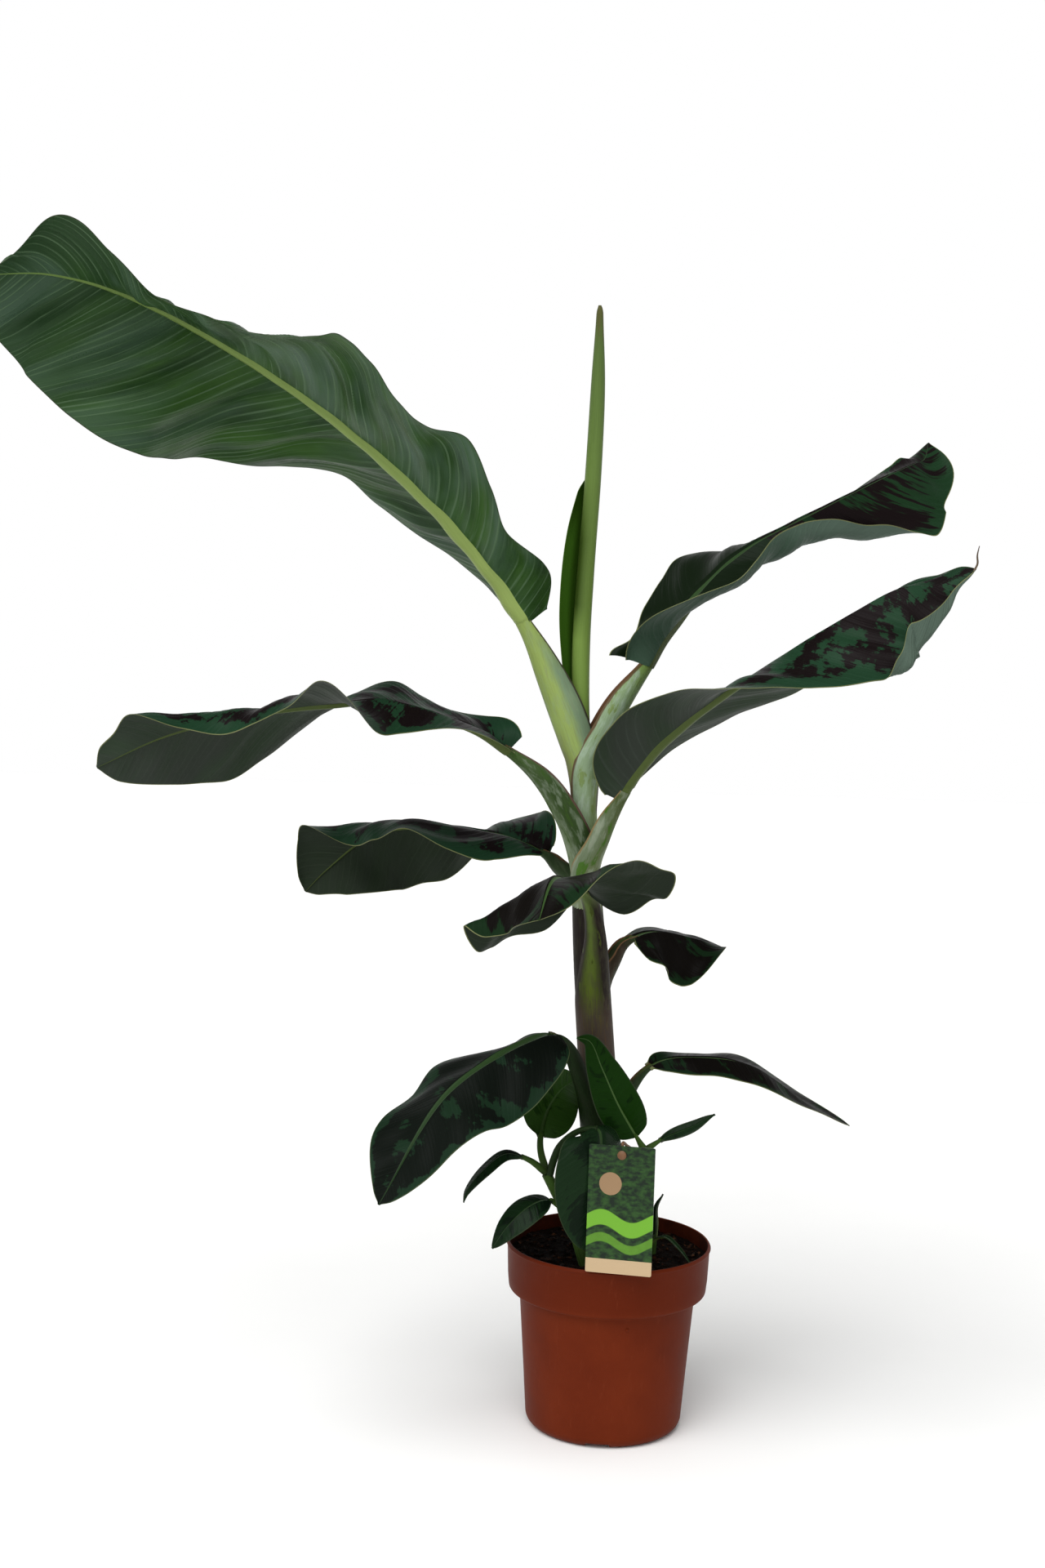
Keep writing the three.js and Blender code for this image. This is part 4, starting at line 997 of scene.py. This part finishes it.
def veins_of(finish):
    """Place turned along the side veins, and the fine lines of the veins themselves."""
    place = finish.map("run")
    across = place.part(1)
    aside = abs(across)
    share = finish.map("share").part(0)
    slant = share * share * VEIN_SWEEP + VEIN_SLANT + aside * VEIN_BEND
    lengthwise = place.part(0) - aside * slant
    turned_place = wire(finish.tree, "CombineXYZ", {0: lengthwise, 1: across})
    fine = turned_place.stretched(1.0, 0.035).noise(42.0, 3.0, 0.6)
    swing = (lengthwise * (MAP_UNIT / VEIN_SWAY_RUN)).maths("SINE")
    swayed = lengthwise + swing * (VEIN_SWAY / MAP_UNIT)
    beat = (swayed * (MAP_UNIT * math.pi / VEIN_PITCH)).maths("SINE")
    ridge = (abs(beat) * -1.0 + 1.0).maths("POWER", 2.5)
    strong = turned_place.stretched(1.0, 0.25).noise(5.0, 3.0).ramp((0.38, 0.08), (0.66, 0.5))
    return turned_place, ridge * strong + fine * 0.85


def top_finish(name, green, light, patch_colour, patches, rough, drawn=0.55, gloss=0.05,
               clear=0.0, blotched=False, deep=None):
    """Upper face: green with patches along the veins or blotched, none at the edge or near a clear base."""
    finish = Finish(name, rough, gloss)
    share = finish.map("share")
    lengthwise = share.part(0)
    place, lines = veins_of(finish)
    patch_place = finish.map("run") if blotched else place
    broad = patch_place.stretched(1.0, drawn).noise(3.2, 5.0, 0.62)
    border = abs(share.part(1)).ramp((0.72, 0.0), (1.0, 0.2))
    ragged = lines * 0.16 + broad - border
    if clear:
        ragged = ragged - lengthwise.ramp((0.5 * clear, 0.25), (clear, 0.0))
    spotted = ragged.ramp((patches, 0.0), (patches + 0.035, 1.0))
    leafy = place.noise(1.7, 2.0).blend(green, light)
    veined = lines.ramp((0.4, 0.0), (0.75, 0.5)).blend(leafy, light)
    if deep:
        veined = lengthwise.ramp((0.35, 0.9), (0.6, 0.0)).blend(veined, deep)
    finish.colour(spotted.blend(veined, patch_colour))
    finish.rough(lines, rough - 0.08, rough + 0.1)
    finish.relief(lines, 0.0005)
    return finish


def under_finish(name, dull, vein, green, rough, gloss=0.08, far=None, reach=(0.4, 0.75), bloom=None,
                 lined=0.55):
    """Under face: dull, with paler side veins, greener stretches, any painted sheen (bloom) and any other
    far end.
    """
    finish = Finish(name, rough, gloss)
    place, lines = veins_of(finish)
    share = finish.map("share")
    broad = place.stretched(1.0, 0.5).noise(2.2, 3.0)
    base = broad.ramp((0.38, 0.0), (0.66, 1.0)).blend(dull, green)
    if far:
        base = share.part(0).ramp((reach[0], 0.0), (reach[1], 1.0)).blend(base, far)
    if bloom:
        # Painted sheen: where bloom is given, pale bluish-green patches, stronger on the left half, stand
        # for light glancing off the under face.
        painted_sheen = place.stretched(1.0, 0.4).noise(1.7, 3.0, 0.6).ramp((0.45, 0.0), (0.64, 1.0))
        upper = (share.part(1) * 0.5 + 0.5).ramp((0.3, 0.75), (0.5, 0.4))
        base = (painted_sheen * upper).blend(base, bloom)
    finish.colour(lines.ramp((0.5, 0.0), (0.76, lined)).blend(base, vein))
    finish.rough(broad, rough - 0.06, rough + 0.1)
    finish.relief(lines, 0.0006)
    return finish


def rib_finish(name, near, far, rough, tip=None, gloss=0.12):
    """Rib: near colour at the stalk to far colour and any other tip, finely lined along its length."""
    finish = Finish(name, rough, gloss)
    lines = finish.map("run").stretched(0.5, 30.0).noise(4.0, 3.0)
    shade = lines * 0.35 + finish.map("share").part(0) - 0.17
    finish.colour(shade.ramp((0.0, near), (0.93, far), (0.97, tip or far)))
    finish.rough(lines, rough - 0.05, rough + 0.1)
    finish.relief(lines, 0.0003)
    return finish


MAROON = (0.0058, 0.0034, 0.0036)
TOP_LOOKS = {
    "patched_top": dict(
        green=(0.006, 0.025, 0.009), light=(0.014, 0.044, 0.022), patch_colour=MAROON,
        patches=0.555, rough=0.4, drawn=0.8, blotched=True,
    ),
    "streaked_top": dict(
        green=(0.004, 0.018, 0.004), light=(0.012, 0.036, 0.016), patch_colour=MAROON,
        patches=0.52, rough=0.4, drawn=0.25, clear=0.5, deep=(0.0032, 0.0068, 0.002),
    ),
    "mottled_top": dict(
        green=(0.005, 0.015, 0.006), light=(0.011, 0.028, 0.015), patch_colour=(0.004, 0.0058, 0.0042),
        patches=0.49, rough=0.42, drawn=0.8, gloss=0.03, blotched=True,
    ),
    "dark_top": dict(
        green=(0.0045, 0.015, 0.005), light=(0.008, 0.023, 0.009), patch_colour=(0.0042, 0.0034, 0.0028),
        patches=0.49, rough=0.4, gloss=0.03,
    ),
    "fresh_top": dict(
        green=(0.014, 0.045, 0.011), light=(0.028, 0.08, 0.02), patch_colour=(0.012, 0.036, 0.01),
        patches=0.62, rough=0.34,
    ),
}
UNDER_LOOKS = {
    "dull_under": dict(
        dull=(0.028, 0.035, 0.027), vein=(0.036, 0.045, 0.035), green=(0.023, 0.037, 0.021), rough=0.56,
    ),
    "dark_under": dict(
        dull=(0.015, 0.022, 0.0135), vein=(0.023, 0.033, 0.02), green=(0.012, 0.021, 0.0095), rough=0.52,
    ),
    "cool_under": dict(
        dull=(0.05, 0.09, 0.06), vein=(0.075, 0.115, 0.085), green=(0.034, 0.076, 0.044),
        rough=0.5, far=(0.07, 0.105, 0.08), reach=(0.25, 0.6),
    ),
    "paling_under": dict(
        dull=(0.028, 0.035, 0.027), vein=(0.04, 0.052, 0.04), green=(0.023, 0.037, 0.021),
        rough=0.54, far=(0.062, 0.092, 0.07),
    ),
    # Its greens are partly the young leaf's own and partly painted light shining through the blade; far is
    # painted shade over the tip end; bloom is painted sheen.
    "fresh_under_painted_light": dict(
        dull=(0.013, 0.04, 0.0095), vein=(0.085, 0.15, 0.075), green=(0.032, 0.088, 0.013),
        rough=0.46, gloss=0.14, far=(0.016, 0.044, 0.014), reach=(0.72, 0.95),
        bloom=(0.07, 0.12, 0.085), lined=0.75,
    ),
}
RIB_LOOKS = {
    "leaf_edge": dict(near=(0.15, 0.17, 0.07), far=(0.13, 0.14, 0.06), rough=0.5),
    "dark_edge": dict(near=(0.02, 0.035, 0.012), far=(0.016, 0.028, 0.01), rough=0.5),
    "low_edge": dict(near=(0.05, 0.07, 0.026), far=(0.045, 0.06, 0.024), rough=0.5),
    "fresh_edge": dict(near=(0.03, 0.055, 0.02), far=(0.03, 0.045, 0.018), rough=0.5),
    "old_groove": dict(near=(0.05, 0.1, 0.025), far=(0.03, 0.065, 0.017), rough=0.4),
    "old_keel": dict(near=(0.07, 0.1, 0.024), far=(0.045, 0.065, 0.016), rough=0.45),
    "dark_groove": dict(near=(0.026, 0.058, 0.016), far=(0.012, 0.029, 0.009), rough=0.4),
    "bright_groove": dict(near=(0.2, 0.3, 0.09), far=(0.14, 0.24, 0.06), rough=0.4),
    "bright_keel": dict(near=(0.27, 0.36, 0.1), far=(0.11, 0.18, 0.045), rough=0.42),
    "dry_thread": dict(near=(0.12, 0.09, 0.06), far=(0.06, 0.04, 0.028), rough=0.7),
}
OLD_LEAF = ("dark_top", "leaf_edge", "dark_under", "old_groove", "old_keel")
LEAF_FACES = {
    "low_left": ("mottled_top", "low_edge", "dark_under", "dark_groove", "old_keel"),
    "low_right": OLD_LEAF,
    "front": OLD_LEAF,
    "small_right": OLD_LEAF,
    "mid_left": ("patched_top", "leaf_edge", "dark_under", "old_groove", "old_keel"),
    "right": ("patched_top", "leaf_edge", "paling_under", "dark_groove", "old_keel"),
    "left": ("patched_top", "leaf_edge", "dull_under", "old_groove", "old_keel"),
    "upper_right": ("streaked_top", "leaf_edge", "cool_under", "dark_groove", "old_keel"),
    "upper_left": ("fresh_top", "fresh_edge", "fresh_under_painted_light", "bright_groove", "bright_keel"),
}
looks |= {label: top_finish(label, **look) for label, look in TOP_LOOKS.items()}
looks |= {label: under_finish(label, **look) for label, look in UNDER_LOOKS.items()}
looks |= {label: rib_finish(label, **look) for label, look in RIB_LOOKS.items()}

for seed, (name, leaf) in enumerate(LEAVES.items()):
    relief = QUILTED.get(name, (VEIN_DEPTH, PUCKER))
    columns = FINE_COLUMNS.get(name, BLADE_COLUMNS)
    rings, strip, maps = blade_skin(leaf, seed, BLADE_STEP, columns, LOBES.get(name, PLAIN_BASE), *relief)
    if name in BROAD_RIBS:
        strip[columns - 1 : columns + RIB_POINTS] = GROOVE
    finishes = [looks[label] for label in LEAF_FACES[name]]
    blade = ring_piece("blade_" + name, rings, maps, finishes, strip, KEEL)
    settle(blade, "leaf", "leaf_" + name)


def limb_skin(line_points, radii, sides, step):
    """Rings of a round limb with raised lines along it, and its maps."""
    line = smooth_line(line_points)
    total = line[1][-1]
    t = np.linspace(0, 1, max(int(total / step), 8))
    forward = heading_at(line, t)
    side = unit(np.cross(forward, (0.0, 1.0, 0.05)))
    up = np.cross(side, forward)
    turn = np.linspace(0, 2 * np.pi, sides, endpoint=False)
    radius = along(radii, t)[:, None] * (1 + LIMB_RELIEF * np.sin(LIMB_LINES * turn))
    ring = side[:, None] * np.cos(turn)[:, None] + up[:, None] * np.sin(turn)[:, None]
    rings = point_at(line, t)[:, None] + ring * radius[..., None]
    run = paired((t * total / MAP_UNIT)[:, None], turn * radii[0] / MAP_UNIT)
    return rings, {"run": run, "share": paired(t[:, None], 0 * turn)}


rings, maps = limb_skin(THREAD_LINE, THREAD_RADII, THREAD_SIDES, THREAD_STEP)
thread = ring_piece("leaf_thread", rings, maps, [looks["dry_thread"]])
settle(thread, "leaf")


# Furled leaf
# The newest leaf, still rolled like a scroll as it pushes up out of the youngest sheath. Its outer
# turn has begun to open, and the free flap stands out to the left with its inner face showing, dark partly
# in its own colour and partly as painted shade.
FURLED_LINE = [
    (-42, 0, 690.3), (-47.5, 5, 755), (-48.5, 8, 810), (-46.5, 8, 876), (-42.5, 8, 965), (-40.5, 8, 1053),
    (-41, 8, 1138),
]
FURLED_RADII = (7, 9, 9, 8.5, 8.2, 7.1, 3.4)
FURLED_FLAP = (2, 7.5, 14.5, 13, 0, 0, 0)
FURLED_POINT = 0.02
FURLED_TURNS = 1.7
FURLED_GAP = 0.9
FURLED_THICK = 0.6
FURLED_RINGS = 190
LEAST_COIL = 1.2
ROLL_POINTS = 64
FLAP_POINTS = 14
FLAP_START = 6
FLAP_BACK = 0.5


def furled_finish(name, near, far, rough, gloss, painted_band, band, reach, tip=None):
    """Rolled blade: a rib's colours up its length, with a painted band over part of it: shade on the roll,
    light along the flap's edge.
    """
    finish = rib_finish(name, near, far, rough, tip, gloss)
    share = finish.map("share")
    painted_band_mask = share.part(1).ramp(*band) * share.part(0).ramp(*reach)
    finish.colour(painted_band_mask.blend(finish.painted, painted_band))
    return finish


# Painted shade: a darker band up the left of the roll, over the middle of its height, for the shade of the
# flap standing out beside it.
furled_outside = furled_finish(
    "furled_outside", near=(0.18, 0.285, 0.055), far=(0.07, 0.115, 0.028), rough=0.4, gloss=0.12,
    painted_band=(0.028, 0.052, 0.007), band=((0.5, 1.0), (0.64, 0.0)),
    reach=((0.26, 0.0), (0.34, 1.0), (0.48, 1.0), (0.62, 0.0)), tip=(0.075, 0.075, 0.022),
)
# Painted shade and light: the flap's inner face is near-black green, partly its own darker upper face and
# partly the roll's shade, with a lighter strip painted along its free edge where light reaches it.
furled_inside = furled_finish(
    "furled_inside", near=(0.011, 0.032, 0.0016), far=(0.014, 0.04, 0.002), rough=0.45, gloss=0.06,
    painted_band=(0.03, 0.085, 0.006), band=((0.93, 0.0), (0.985, 1.0)), reach=((0.48, 1.0), (0.56, 0.0)),
)
line = smooth_line(FURLED_LINE)
t = np.linspace(0, 1, FURLED_RINGS)
middle = point_at(line, t)
point = np.sqrt(1 - 0.9 * np.clip((t - 1 + FURLED_POINT) / FURLED_POINT, 0, 1) ** 2)
radius = along(FURLED_RADII, t) * point
flap = np.maximum(along(FURLED_FLAP, t), 0)
a = np.linspace(0, 1, ROLL_POINTS)
roll_angle = np.pi / 2 - 2 * np.pi * FURLED_TURNS * (1 - a)
coil = np.maximum(radius[:, None] - FURLED_GAP * FURLED_TURNS * (1 - a), LEAST_COIL)
roll = np.stack([coil * np.cos(roll_angle), coil * np.sin(roll_angle)], -1)
b = np.linspace(0, 1, FLAP_POINTS + 1)[1:]
free_length = (flap + radius * ease(flap, 0, FLAP_START))[:, None] * b
free = np.stack([-free_length, radius[:, None] - FLAP_BACK * free_length * b], -1)
sheet = np.concatenate([roll, free], 1)
lead = unit(np.gradient(sheet, axis=1) + 1e-9)
normal = np.stack([lead[..., 1], -lead[..., 0]], -1)
outside = sheet + normal * FURLED_THICK / 2
inside = sheet - normal * FURLED_THICK / 2
outline = np.concatenate([outside, inside[:, ::-1]], 1)
heights = np.broadcast_to(middle[:, None, 2:], outline[..., :1].shape)
rings = np.concatenate([middle[:, None, :2] + outline, heights], -1)
half_way = sheet[FURLED_RINGS // 2]
spread = np.concatenate([[0], np.cumsum(np.linalg.norm(np.diff(half_way, axis=0), axis=1))])
across = np.concatenate([spread, spread[::-1]]) / MAP_UNIT
lengthwise = (t * line[1][-1] / MAP_UNIT)[:, None]
maps = {"run": paired(lengthwise, across), "share": paired(t[:, None], across)}
faces_of_roll = np.repeat([0, 1], len(spread))
furled = ring_piece("furled_leaf", rings, maps, [furled_outside, furled_inside], faces_of_roll)
settle(furled, "young_leaf", "leaf_furled")


# Suckers
# Young side shoots from the same root, crowded round the foot of the stem: thin green stems that
# carry narrow or paddle-shaped leaves, brighter and glossier than the old ones.
SUCKERS = {
    "sucker_left": dict(
        line=[(-22, -50, 174), (-40, -56, 226), (-56, -60, 256), (-67, -62, 277)], radii=(7, 5),
    ),
    "sucker_right": dict(line=[(26, -30, 174), (31, -32, 244), (31, -35, 299)], radii=(8, 6)),
}
SUCKER_SIDES = 24
SUCKER_RING_STEP = 3
SMALL_STALK_SIDES = 12
SMALL_STALK_STEP = 2
SMALL_STALK_OVERLAP = 0.02
SMALL_STALK_POINTS = 6
SUCKER_STEP = 1.6
SUCKER_COLUMNS = 10
SUCKER_PLEAT = 0.1
SUCKER_SEED = 20


def even_half(lift, curl=0):
    """Half of a blade with the same lift and curl all along."""
    return (lift, lift), (curl, curl), WHOLE


SUCKER_LEAVES = {
    "sucker_bright": dict(
        line=[(31, -36, 298), (19, -42, 318), (2, -50, 348), (-15, -52, 384), (-28, -48, 410),
              (-41, -42, 412)],
        stalk=0.12, wide=(4, 1.8), half=23, skew=0.6, full=0.75, roll=(-75, -75),
        left=even_half(0, 10), right=even_half(0, 10),
    ),
    "sucker_thin": dict(
        line=[(34, -33, 298), (53, -26, 309), (81, -20, 320), (96, -16, 328), (103, -14, 331)],
        stalk=0.2, wide=(3.5, 2), half=7, skew=0.8, full=0.8, left=even_half(40), right=even_half(-50),
    ),
    "sucker_broad": dict(
        line=[(-64, -63, 277), (-56, -66, 305), (-39, -68, 322), (-18, -74, 328), (-14, -86, 302),
              (-18, -90, 252), (-22, -90, 208)],
        stalk=0.36, wide=(4, 3), half=47, skew=0.8, full=0.5,
        left=even_half(-10, -20), right=even_half(-10, -20),
    ),
    "sucker_narrow": dict(
        line=[(-68, -62, 279), (-85, -66, 292), (-108, -70, 299), (-130, -74, 283), (-147, -76, 260),
              (-149, -74, 249)],
        stalk=0.25, wide=(4, 2.5), half=10, skew=0.8, full=0.7, left=even_half(-40), right=even_half(10),
    ),
    "sucker_back": dict(
        line=[(-67, -58, 277), (-74, -46, 300), (-70, -20, 325), (-55, 10, 345), (-35, 40, 352)],
        stalk=0.28, wide=(4, 3), half=32, skew=0.8, full=0.6, left=even_half(50), right=even_half(-50),
    ),
    "sucker_rim": dict(
        line=[(-50, -62, 243), (-66, -72, 254), (-84, -84, 250), (-104, -94, 233), (-119, -100, 211)],
        stalk=0.16, wide=(3.5, 2.5), half=18, skew=0.8, full=0.7, left=even_half(-40), right=even_half(10),
    ),
    "sucker_upright": dict(
        line=[(45, -10, 176), (48, -8, 212), (48, -8, 231), (54, -6, 244)],
        stalk=0.35, wide=(3, 2), half=5, skew=0.8, full=0.8, left=even_half(30), right=even_half(30),
    ),
    "sucker_blade": dict(
        line=[(38, -24, 176), (44, -24, 200), (56, -28, 206), (70, -34, 196), (82, -44, 183)],
        stalk=0.3, wide=(2.5, 1.8), half=4, skew=0.8, full=0.7, left=even_half(10), right=even_half(10),
    ),
}
SUCKER_TOPS = {
    "glossy_top": dict(
        green=(0.0045, 0.013, 0.0045), light=(0.008, 0.023, 0.008), patch_colour=(0.0035, 0.009, 0.004),
        patches=0.6, rough=0.26,
    ),
    "bright_top": dict(
        green=(0.0035, 0.018, 0.0015), light=(0.007, 0.03, 0.0025), patch_colour=(0.003, 0.014, 0.0015),
        patches=0.62, rough=0.3, gloss=0.03,
    ),
    "young_top": dict(
        green=(0.016, 0.05, 0.006), light=(0.03, 0.08, 0.012), patch_colour=(0.012, 0.04, 0.005),
        patches=0.62, rough=0.34,
    ),
}
GLOSSY_LEAF = ("glossy_top", "dark_edge", "dark_under", "dark_groove", "old_keel")
SUCKER_FACES = {
    "sucker_bright": ("bright_top", "dark_edge", "fresh_under_painted_light", "old_groove", "old_keel"),
    "sucker_back": ("young_top", "dark_edge", "fresh_under_painted_light", "old_groove", "old_keel"),
}
DARK_STALKS = ("sucker_broad",)
young_stalk = sheath_finish(
    "young_stalk", foot=(0.014, 0.018, 0.006), keel=(0.03, 0.062, 0.011), top=(0.035, 0.075, 0.012),
    wall=(0.026, 0.05, 0.01), bloom=(0.04, 0.075, 0.02), rubbed=(0.018, 0.04, 0.007),
    edge=(0.04, 0.045, 0.016), aged=(-0.1, 0.25),
)
looks |= {label: top_finish(label, **look) for label, look in SUCKER_TOPS.items()}

for name, sucker in SUCKERS.items():
    rings, maps = limb_skin(sucker["line"], sucker["radii"], SUCKER_SIDES, SUCKER_RING_STEP)
    shoot = ring_piece("shoot_" + name, rings, maps, [young_stalk])
    settle(shoot, "stalk", name)
for seed, (name, leaf) in enumerate(SUCKER_LEAVES.items(), start=SUCKER_SEED):
    stalk_shares = np.linspace(0, leaf["stalk"] + SMALL_STALK_OVERLAP, SMALL_STALK_POINTS)
    stalk_line = point_at(smooth_line(leaf["line"]), stalk_shares)
    rings, maps = limb_skin(stalk_line, leaf["wide"], SMALL_STALK_SIDES, SMALL_STALK_STEP)
    stalk_finish = looks["deep_stalk"] if name in DARK_STALKS else young_stalk
    stalk = ring_piece("stalk_of_" + name, rings, maps, [stalk_finish])
    settle(stalk, "stalk", "stalk_" + name)
    lobes = LOBES.get(name, PLAIN_BASE)
    rings, strip, maps = blade_skin(leaf, seed, SUCKER_STEP, SUCKER_COLUMNS, lobes, SUCKER_PLEAT)
    finishes = [looks[label] for label in SUCKER_FACES.get(name, GLOSSY_LEAF)]
    blade = ring_piece("blade_" + name, rings, maps, finishes, strip, KEEL)
    settle(blade, "leaf", "leaf_" + name)


# Plant tag
# A coated card that hangs from a sucker and leans on the rim, printed in greens above a plain
# cream strip, with a brown moulded tie through the hole near its top.
TAG_WIDTH = 66
TAG_HEIGHT = 126
TAG_THICK = 1
TAG_CORNER = 1.6
TAG_CORNER_POINTS = 5
TAG_HOLE = 3.2
TAG_HOLE_DROP = 9
TAG_TURN = -1
TAG_YAW = 14
TAG_LEAN = 5
TAG_CENTRE = (5.5, -107.5, 256)
TAG_STRIP = 14
STRAP_END = [(6, -98, 320), (12, -76, 312), (28, -38, 292)]
STRAP_RADIUS = 1.5
STRAP_SIDES = 12
STRAP_STEP = 1.2
STRAP_BEHIND = 5
BUTTON_RADIUS = 4.5
BUTTON_THICK = 1.4
BUTTON_GAP = 0.3
BUTTON_SIDES = 24
TAG_CREAM = (0.44, 0.32, 0.19)
TAG_DEEP = (0.005, 0.013, 0.006)
TAG_MID = (0.02, 0.06, 0.012)
TAG_LIME = (0.13, 0.33, 0.025)
TAG_TAN = (0.27, 0.17, 0.09)
TAG_DISC = (0.34, 0.7, 0.17)
TAG_BANDS = ((0.2, 0.0), (0.205, 0.55), (0.27, 0.55), (0.275, 0.0), (0.33, 0.0), (0.335, 1.0),
             (0.45, 1.0), (0.455, 0.0))
STRAP_BROWN = (0.17, 0.075, 0.028)
STRAP_DARK = (0.11, 0.045, 0.016)

tag_place = (
    Matrix.Translation(TAG_CENTRE)
    @ Matrix.Rotation(math.radians(-TAG_YAW), 4, "Z")
    @ Matrix.Rotation(math.radians(-TAG_LEAN), 4, "X")
    @ Matrix.Rotation(math.radians(TAG_TURN), 4, "Y")
)


def on_tag(points):
    """Points of the flat card, taken to where the card hangs."""
    turn = np.array(tag_place)
    return np.asarray(points, float) @ turn[:3, :3].T + turn[:3, 3]


def card_outline(width, height, corner, count):
    """Corner-rounded outline, as points (x, z) round the card."""
    points = []
    for sx, sz, start in ((1, 1, 0), (-1, 1, 90), (-1, -1, 180), (1, -1, 270)):
        centre = (sx * (width / 2 - corner), sz * (height / 2 - corner))
        points += arc(corner, centre, start, start + 90, count)
    return np.array(points)


card_finish = Finish("tag_card", 0.3, 0.2)
place = card_finish.map("card")
across, up = place.part(0), place.part(1)
field = place.stretched(9.0, 26.0).noise(1.0, 4.0, 0.6).ramp((0.4, TAG_DEEP), (0.62, TAG_MID))
wave = (across * 7.0).maths("SINE")
bands = (wave * -0.045 + up).ramp(*TAG_BANDS)
across_disc = across - TAG_DISC[0]
up_disc = (up - TAG_DISC[1]) * (TAG_HEIGHT / TAG_WIDTH)
from_disc = (across_disc * across_disc + up_disc * up_disc).maths("SQRT")
in_disc = from_disc.maths("LESS_THAN", TAG_DISC[2])
picture = in_disc.blend(bands.blend(field, TAG_LIME), TAG_TAN)
printed = up.maths("GREATER_THAN", TAG_STRIP / TAG_HEIGHT)
card_finish.colour(printed.blend(TAG_CREAM, picture))

outline = card_outline(TAG_WIDTH, TAG_HEIGHT, TAG_CORNER, TAG_CORNER_POINTS)
hole_rise = TAG_HEIGHT / 2 - TAG_HOLE_DROP
hole_turn = np.arctan2(outline[:, 1] - hole_rise, outline[:, 0])
rim = np.stack([TAG_HOLE * np.cos(hole_turn), hole_rise + TAG_HOLE * np.sin(hole_turn)], -1)
loops = [(outline, -0.5), (outline, 0.5), (rim, 0.5), (rim, -0.5)]
card_points = np.concatenate([np.insert(p, 1, y * TAG_THICK, axis=1) for p, y in loops])
count = len(outline)
k = np.arange(count)
after = (k + 1) % count
hole_faces = np.stack([3 * count + k, 3 * count + after, after, k], -1)
card_faces = np.concatenate([skin(len(loops), count), hole_faces])
card_map = np.stack([card_points[:, 0] / TAG_WIDTH + 0.5, card_points[:, 2] / TAG_HEIGHT + 0.5], -1)
tag = piece_of("tag", on_tag(card_points), card_faces, [card_finish], maps={"card": card_map}, sharp=30)
settle(tag, "tag", "tag")

strap_finish = Finish("strap_plastic", 0.5, 0.4)
strap_finish.colour(strap_finish.place().noise(300.0).ramp((0.3, STRAP_DARK), (0.7, STRAP_BROWN)))
front = TAG_THICK / 2 + BUTTON_GAP
through_hole = on_tag([(0, -front - BUTTON_THICK / 2, hole_rise), (0, STRAP_BEHIND, hole_rise)])
strap_line = [*through_hole, *STRAP_END]
strap_rings, _ = limb_skin(strap_line, (STRAP_RADIUS, STRAP_RADIUS), STRAP_SIDES, STRAP_STEP)
button_profile = [
    (AXIS, 0), (BUTTON_RADIUS - 1, 0), (BUTTON_RADIUS, 0.5), (BUTTON_RADIUS, BUTTON_THICK - 0.6),
    (BUTTON_RADIUS - 0.8, BUTTON_THICK), (AXIS, BUTTON_THICK + 0.4),
]
button = turned(button_profile, BUTTON_SIDES)
button_points = on_tag(np.stack([button[:, 0], -front - button[:, 2], hole_rise + button[:, 1]], -1))
strap_points = np.concatenate([strap_rings.reshape(-1, 3), button_points])
button_faces = skin(len(button_profile), BUTTON_SIDES) + len(strap_rings) * STRAP_SIDES
strap_faces = np.concatenate([closed_skin(len(strap_rings), STRAP_SIDES), button_faces])
strap = piece_of("tag_strap", strap_points, strap_faces, [strap_finish])
settle(strap, "strap", "tag_strap")


# Floor, light and camera
# A plain pale sweep under soft studio light, seen from where the photograph was taken.
FLOOR_HALF = 6.0
FLOOR_CORNERS = ((-1, -1), (1, -1), (1, 1), (-1, 1))
FLOOR_PALE = (0.94, 0.94, 0.93)
FLOOR_GREY = (0.92, 0.92, 0.91)
EYE = (-0.103, -2.3, 0.908)
PITCH_DOWN = 6.13
TILT = 1.76
LENS_IN_HEIGHTS = 2813 / 1920
SENSOR = 36.0
SUN_FROM = (-0.35, -0.75, 1.2)
SUN_POWER = 3.3
SUN_SPREAD = 55
HORIZON_BAND = ((0.0, 1.0), (0.64, 1.0), (0.78, 0.2))

floor_mesh = bpy.data.meshes.new("floor")
floor_corners = [(x * FLOOR_HALF, y * FLOOR_HALF, 0) for x, y in FLOOR_CORNERS]
floor_mesh.from_pydata(floor_corners, [], [(0, 1, 2, 3)])
floor = bpy.data.objects.new("floor", floor_mesh)
bpy.context.scene.collection.objects.link(floor)
floor_finish = Finish("floor", 0.7)
floor_finish.colour(floor_finish.place().noise(3.0).ramp((0.3, FLOOR_GREY), (0.7, FLOOR_PALE)))
floor_mesh.materials.append(floor_finish.material)

world = bpy.data.worlds.new("studio")
world.use_nodes = True
sky = world.node_tree
height = wire(sky, "TexCoord", {}, "Generated").part(2)
band = (height * 0.5 + 0.5).ramp(*HORIZON_BAND)
sky.links.new(band.socket, sky.nodes["Background"].inputs[0])
bpy.context.scene.world = world
bpy.context.scene.view_settings.view_transform = "Standard"

sun = bpy.data.lights.new("sun", "SUN")
sun.energy = SUN_POWER
sun.angle = math.radians(SUN_SPREAD)
sun_holder = bpy.data.objects.new("sun", sun)
sun_way = Vector(SUN_FROM).to_track_quat("Z", "Y")
sun_holder.matrix_world = sun_way.to_matrix().to_4x4()
bpy.context.scene.collection.objects.link(sun_holder)

lens = bpy.data.cameras.new("camera")
lens.sensor_fit = "VERTICAL"
lens.sensor_height = SENSOR
lens.lens = SENSOR * LENS_IN_HEIGHTS
camera = bpy.data.objects.new("camera", lens)
bpy.context.scene.collection.objects.link(camera)
camera.matrix_world = (
    Matrix.Translation(EYE)
    @ Matrix.Rotation(math.radians(90 - PITCH_DOWN), 4, "X")
    @ Matrix.Rotation(math.radians(TILT), 4, "Z")
)
bpy.context.scene.camera = camera
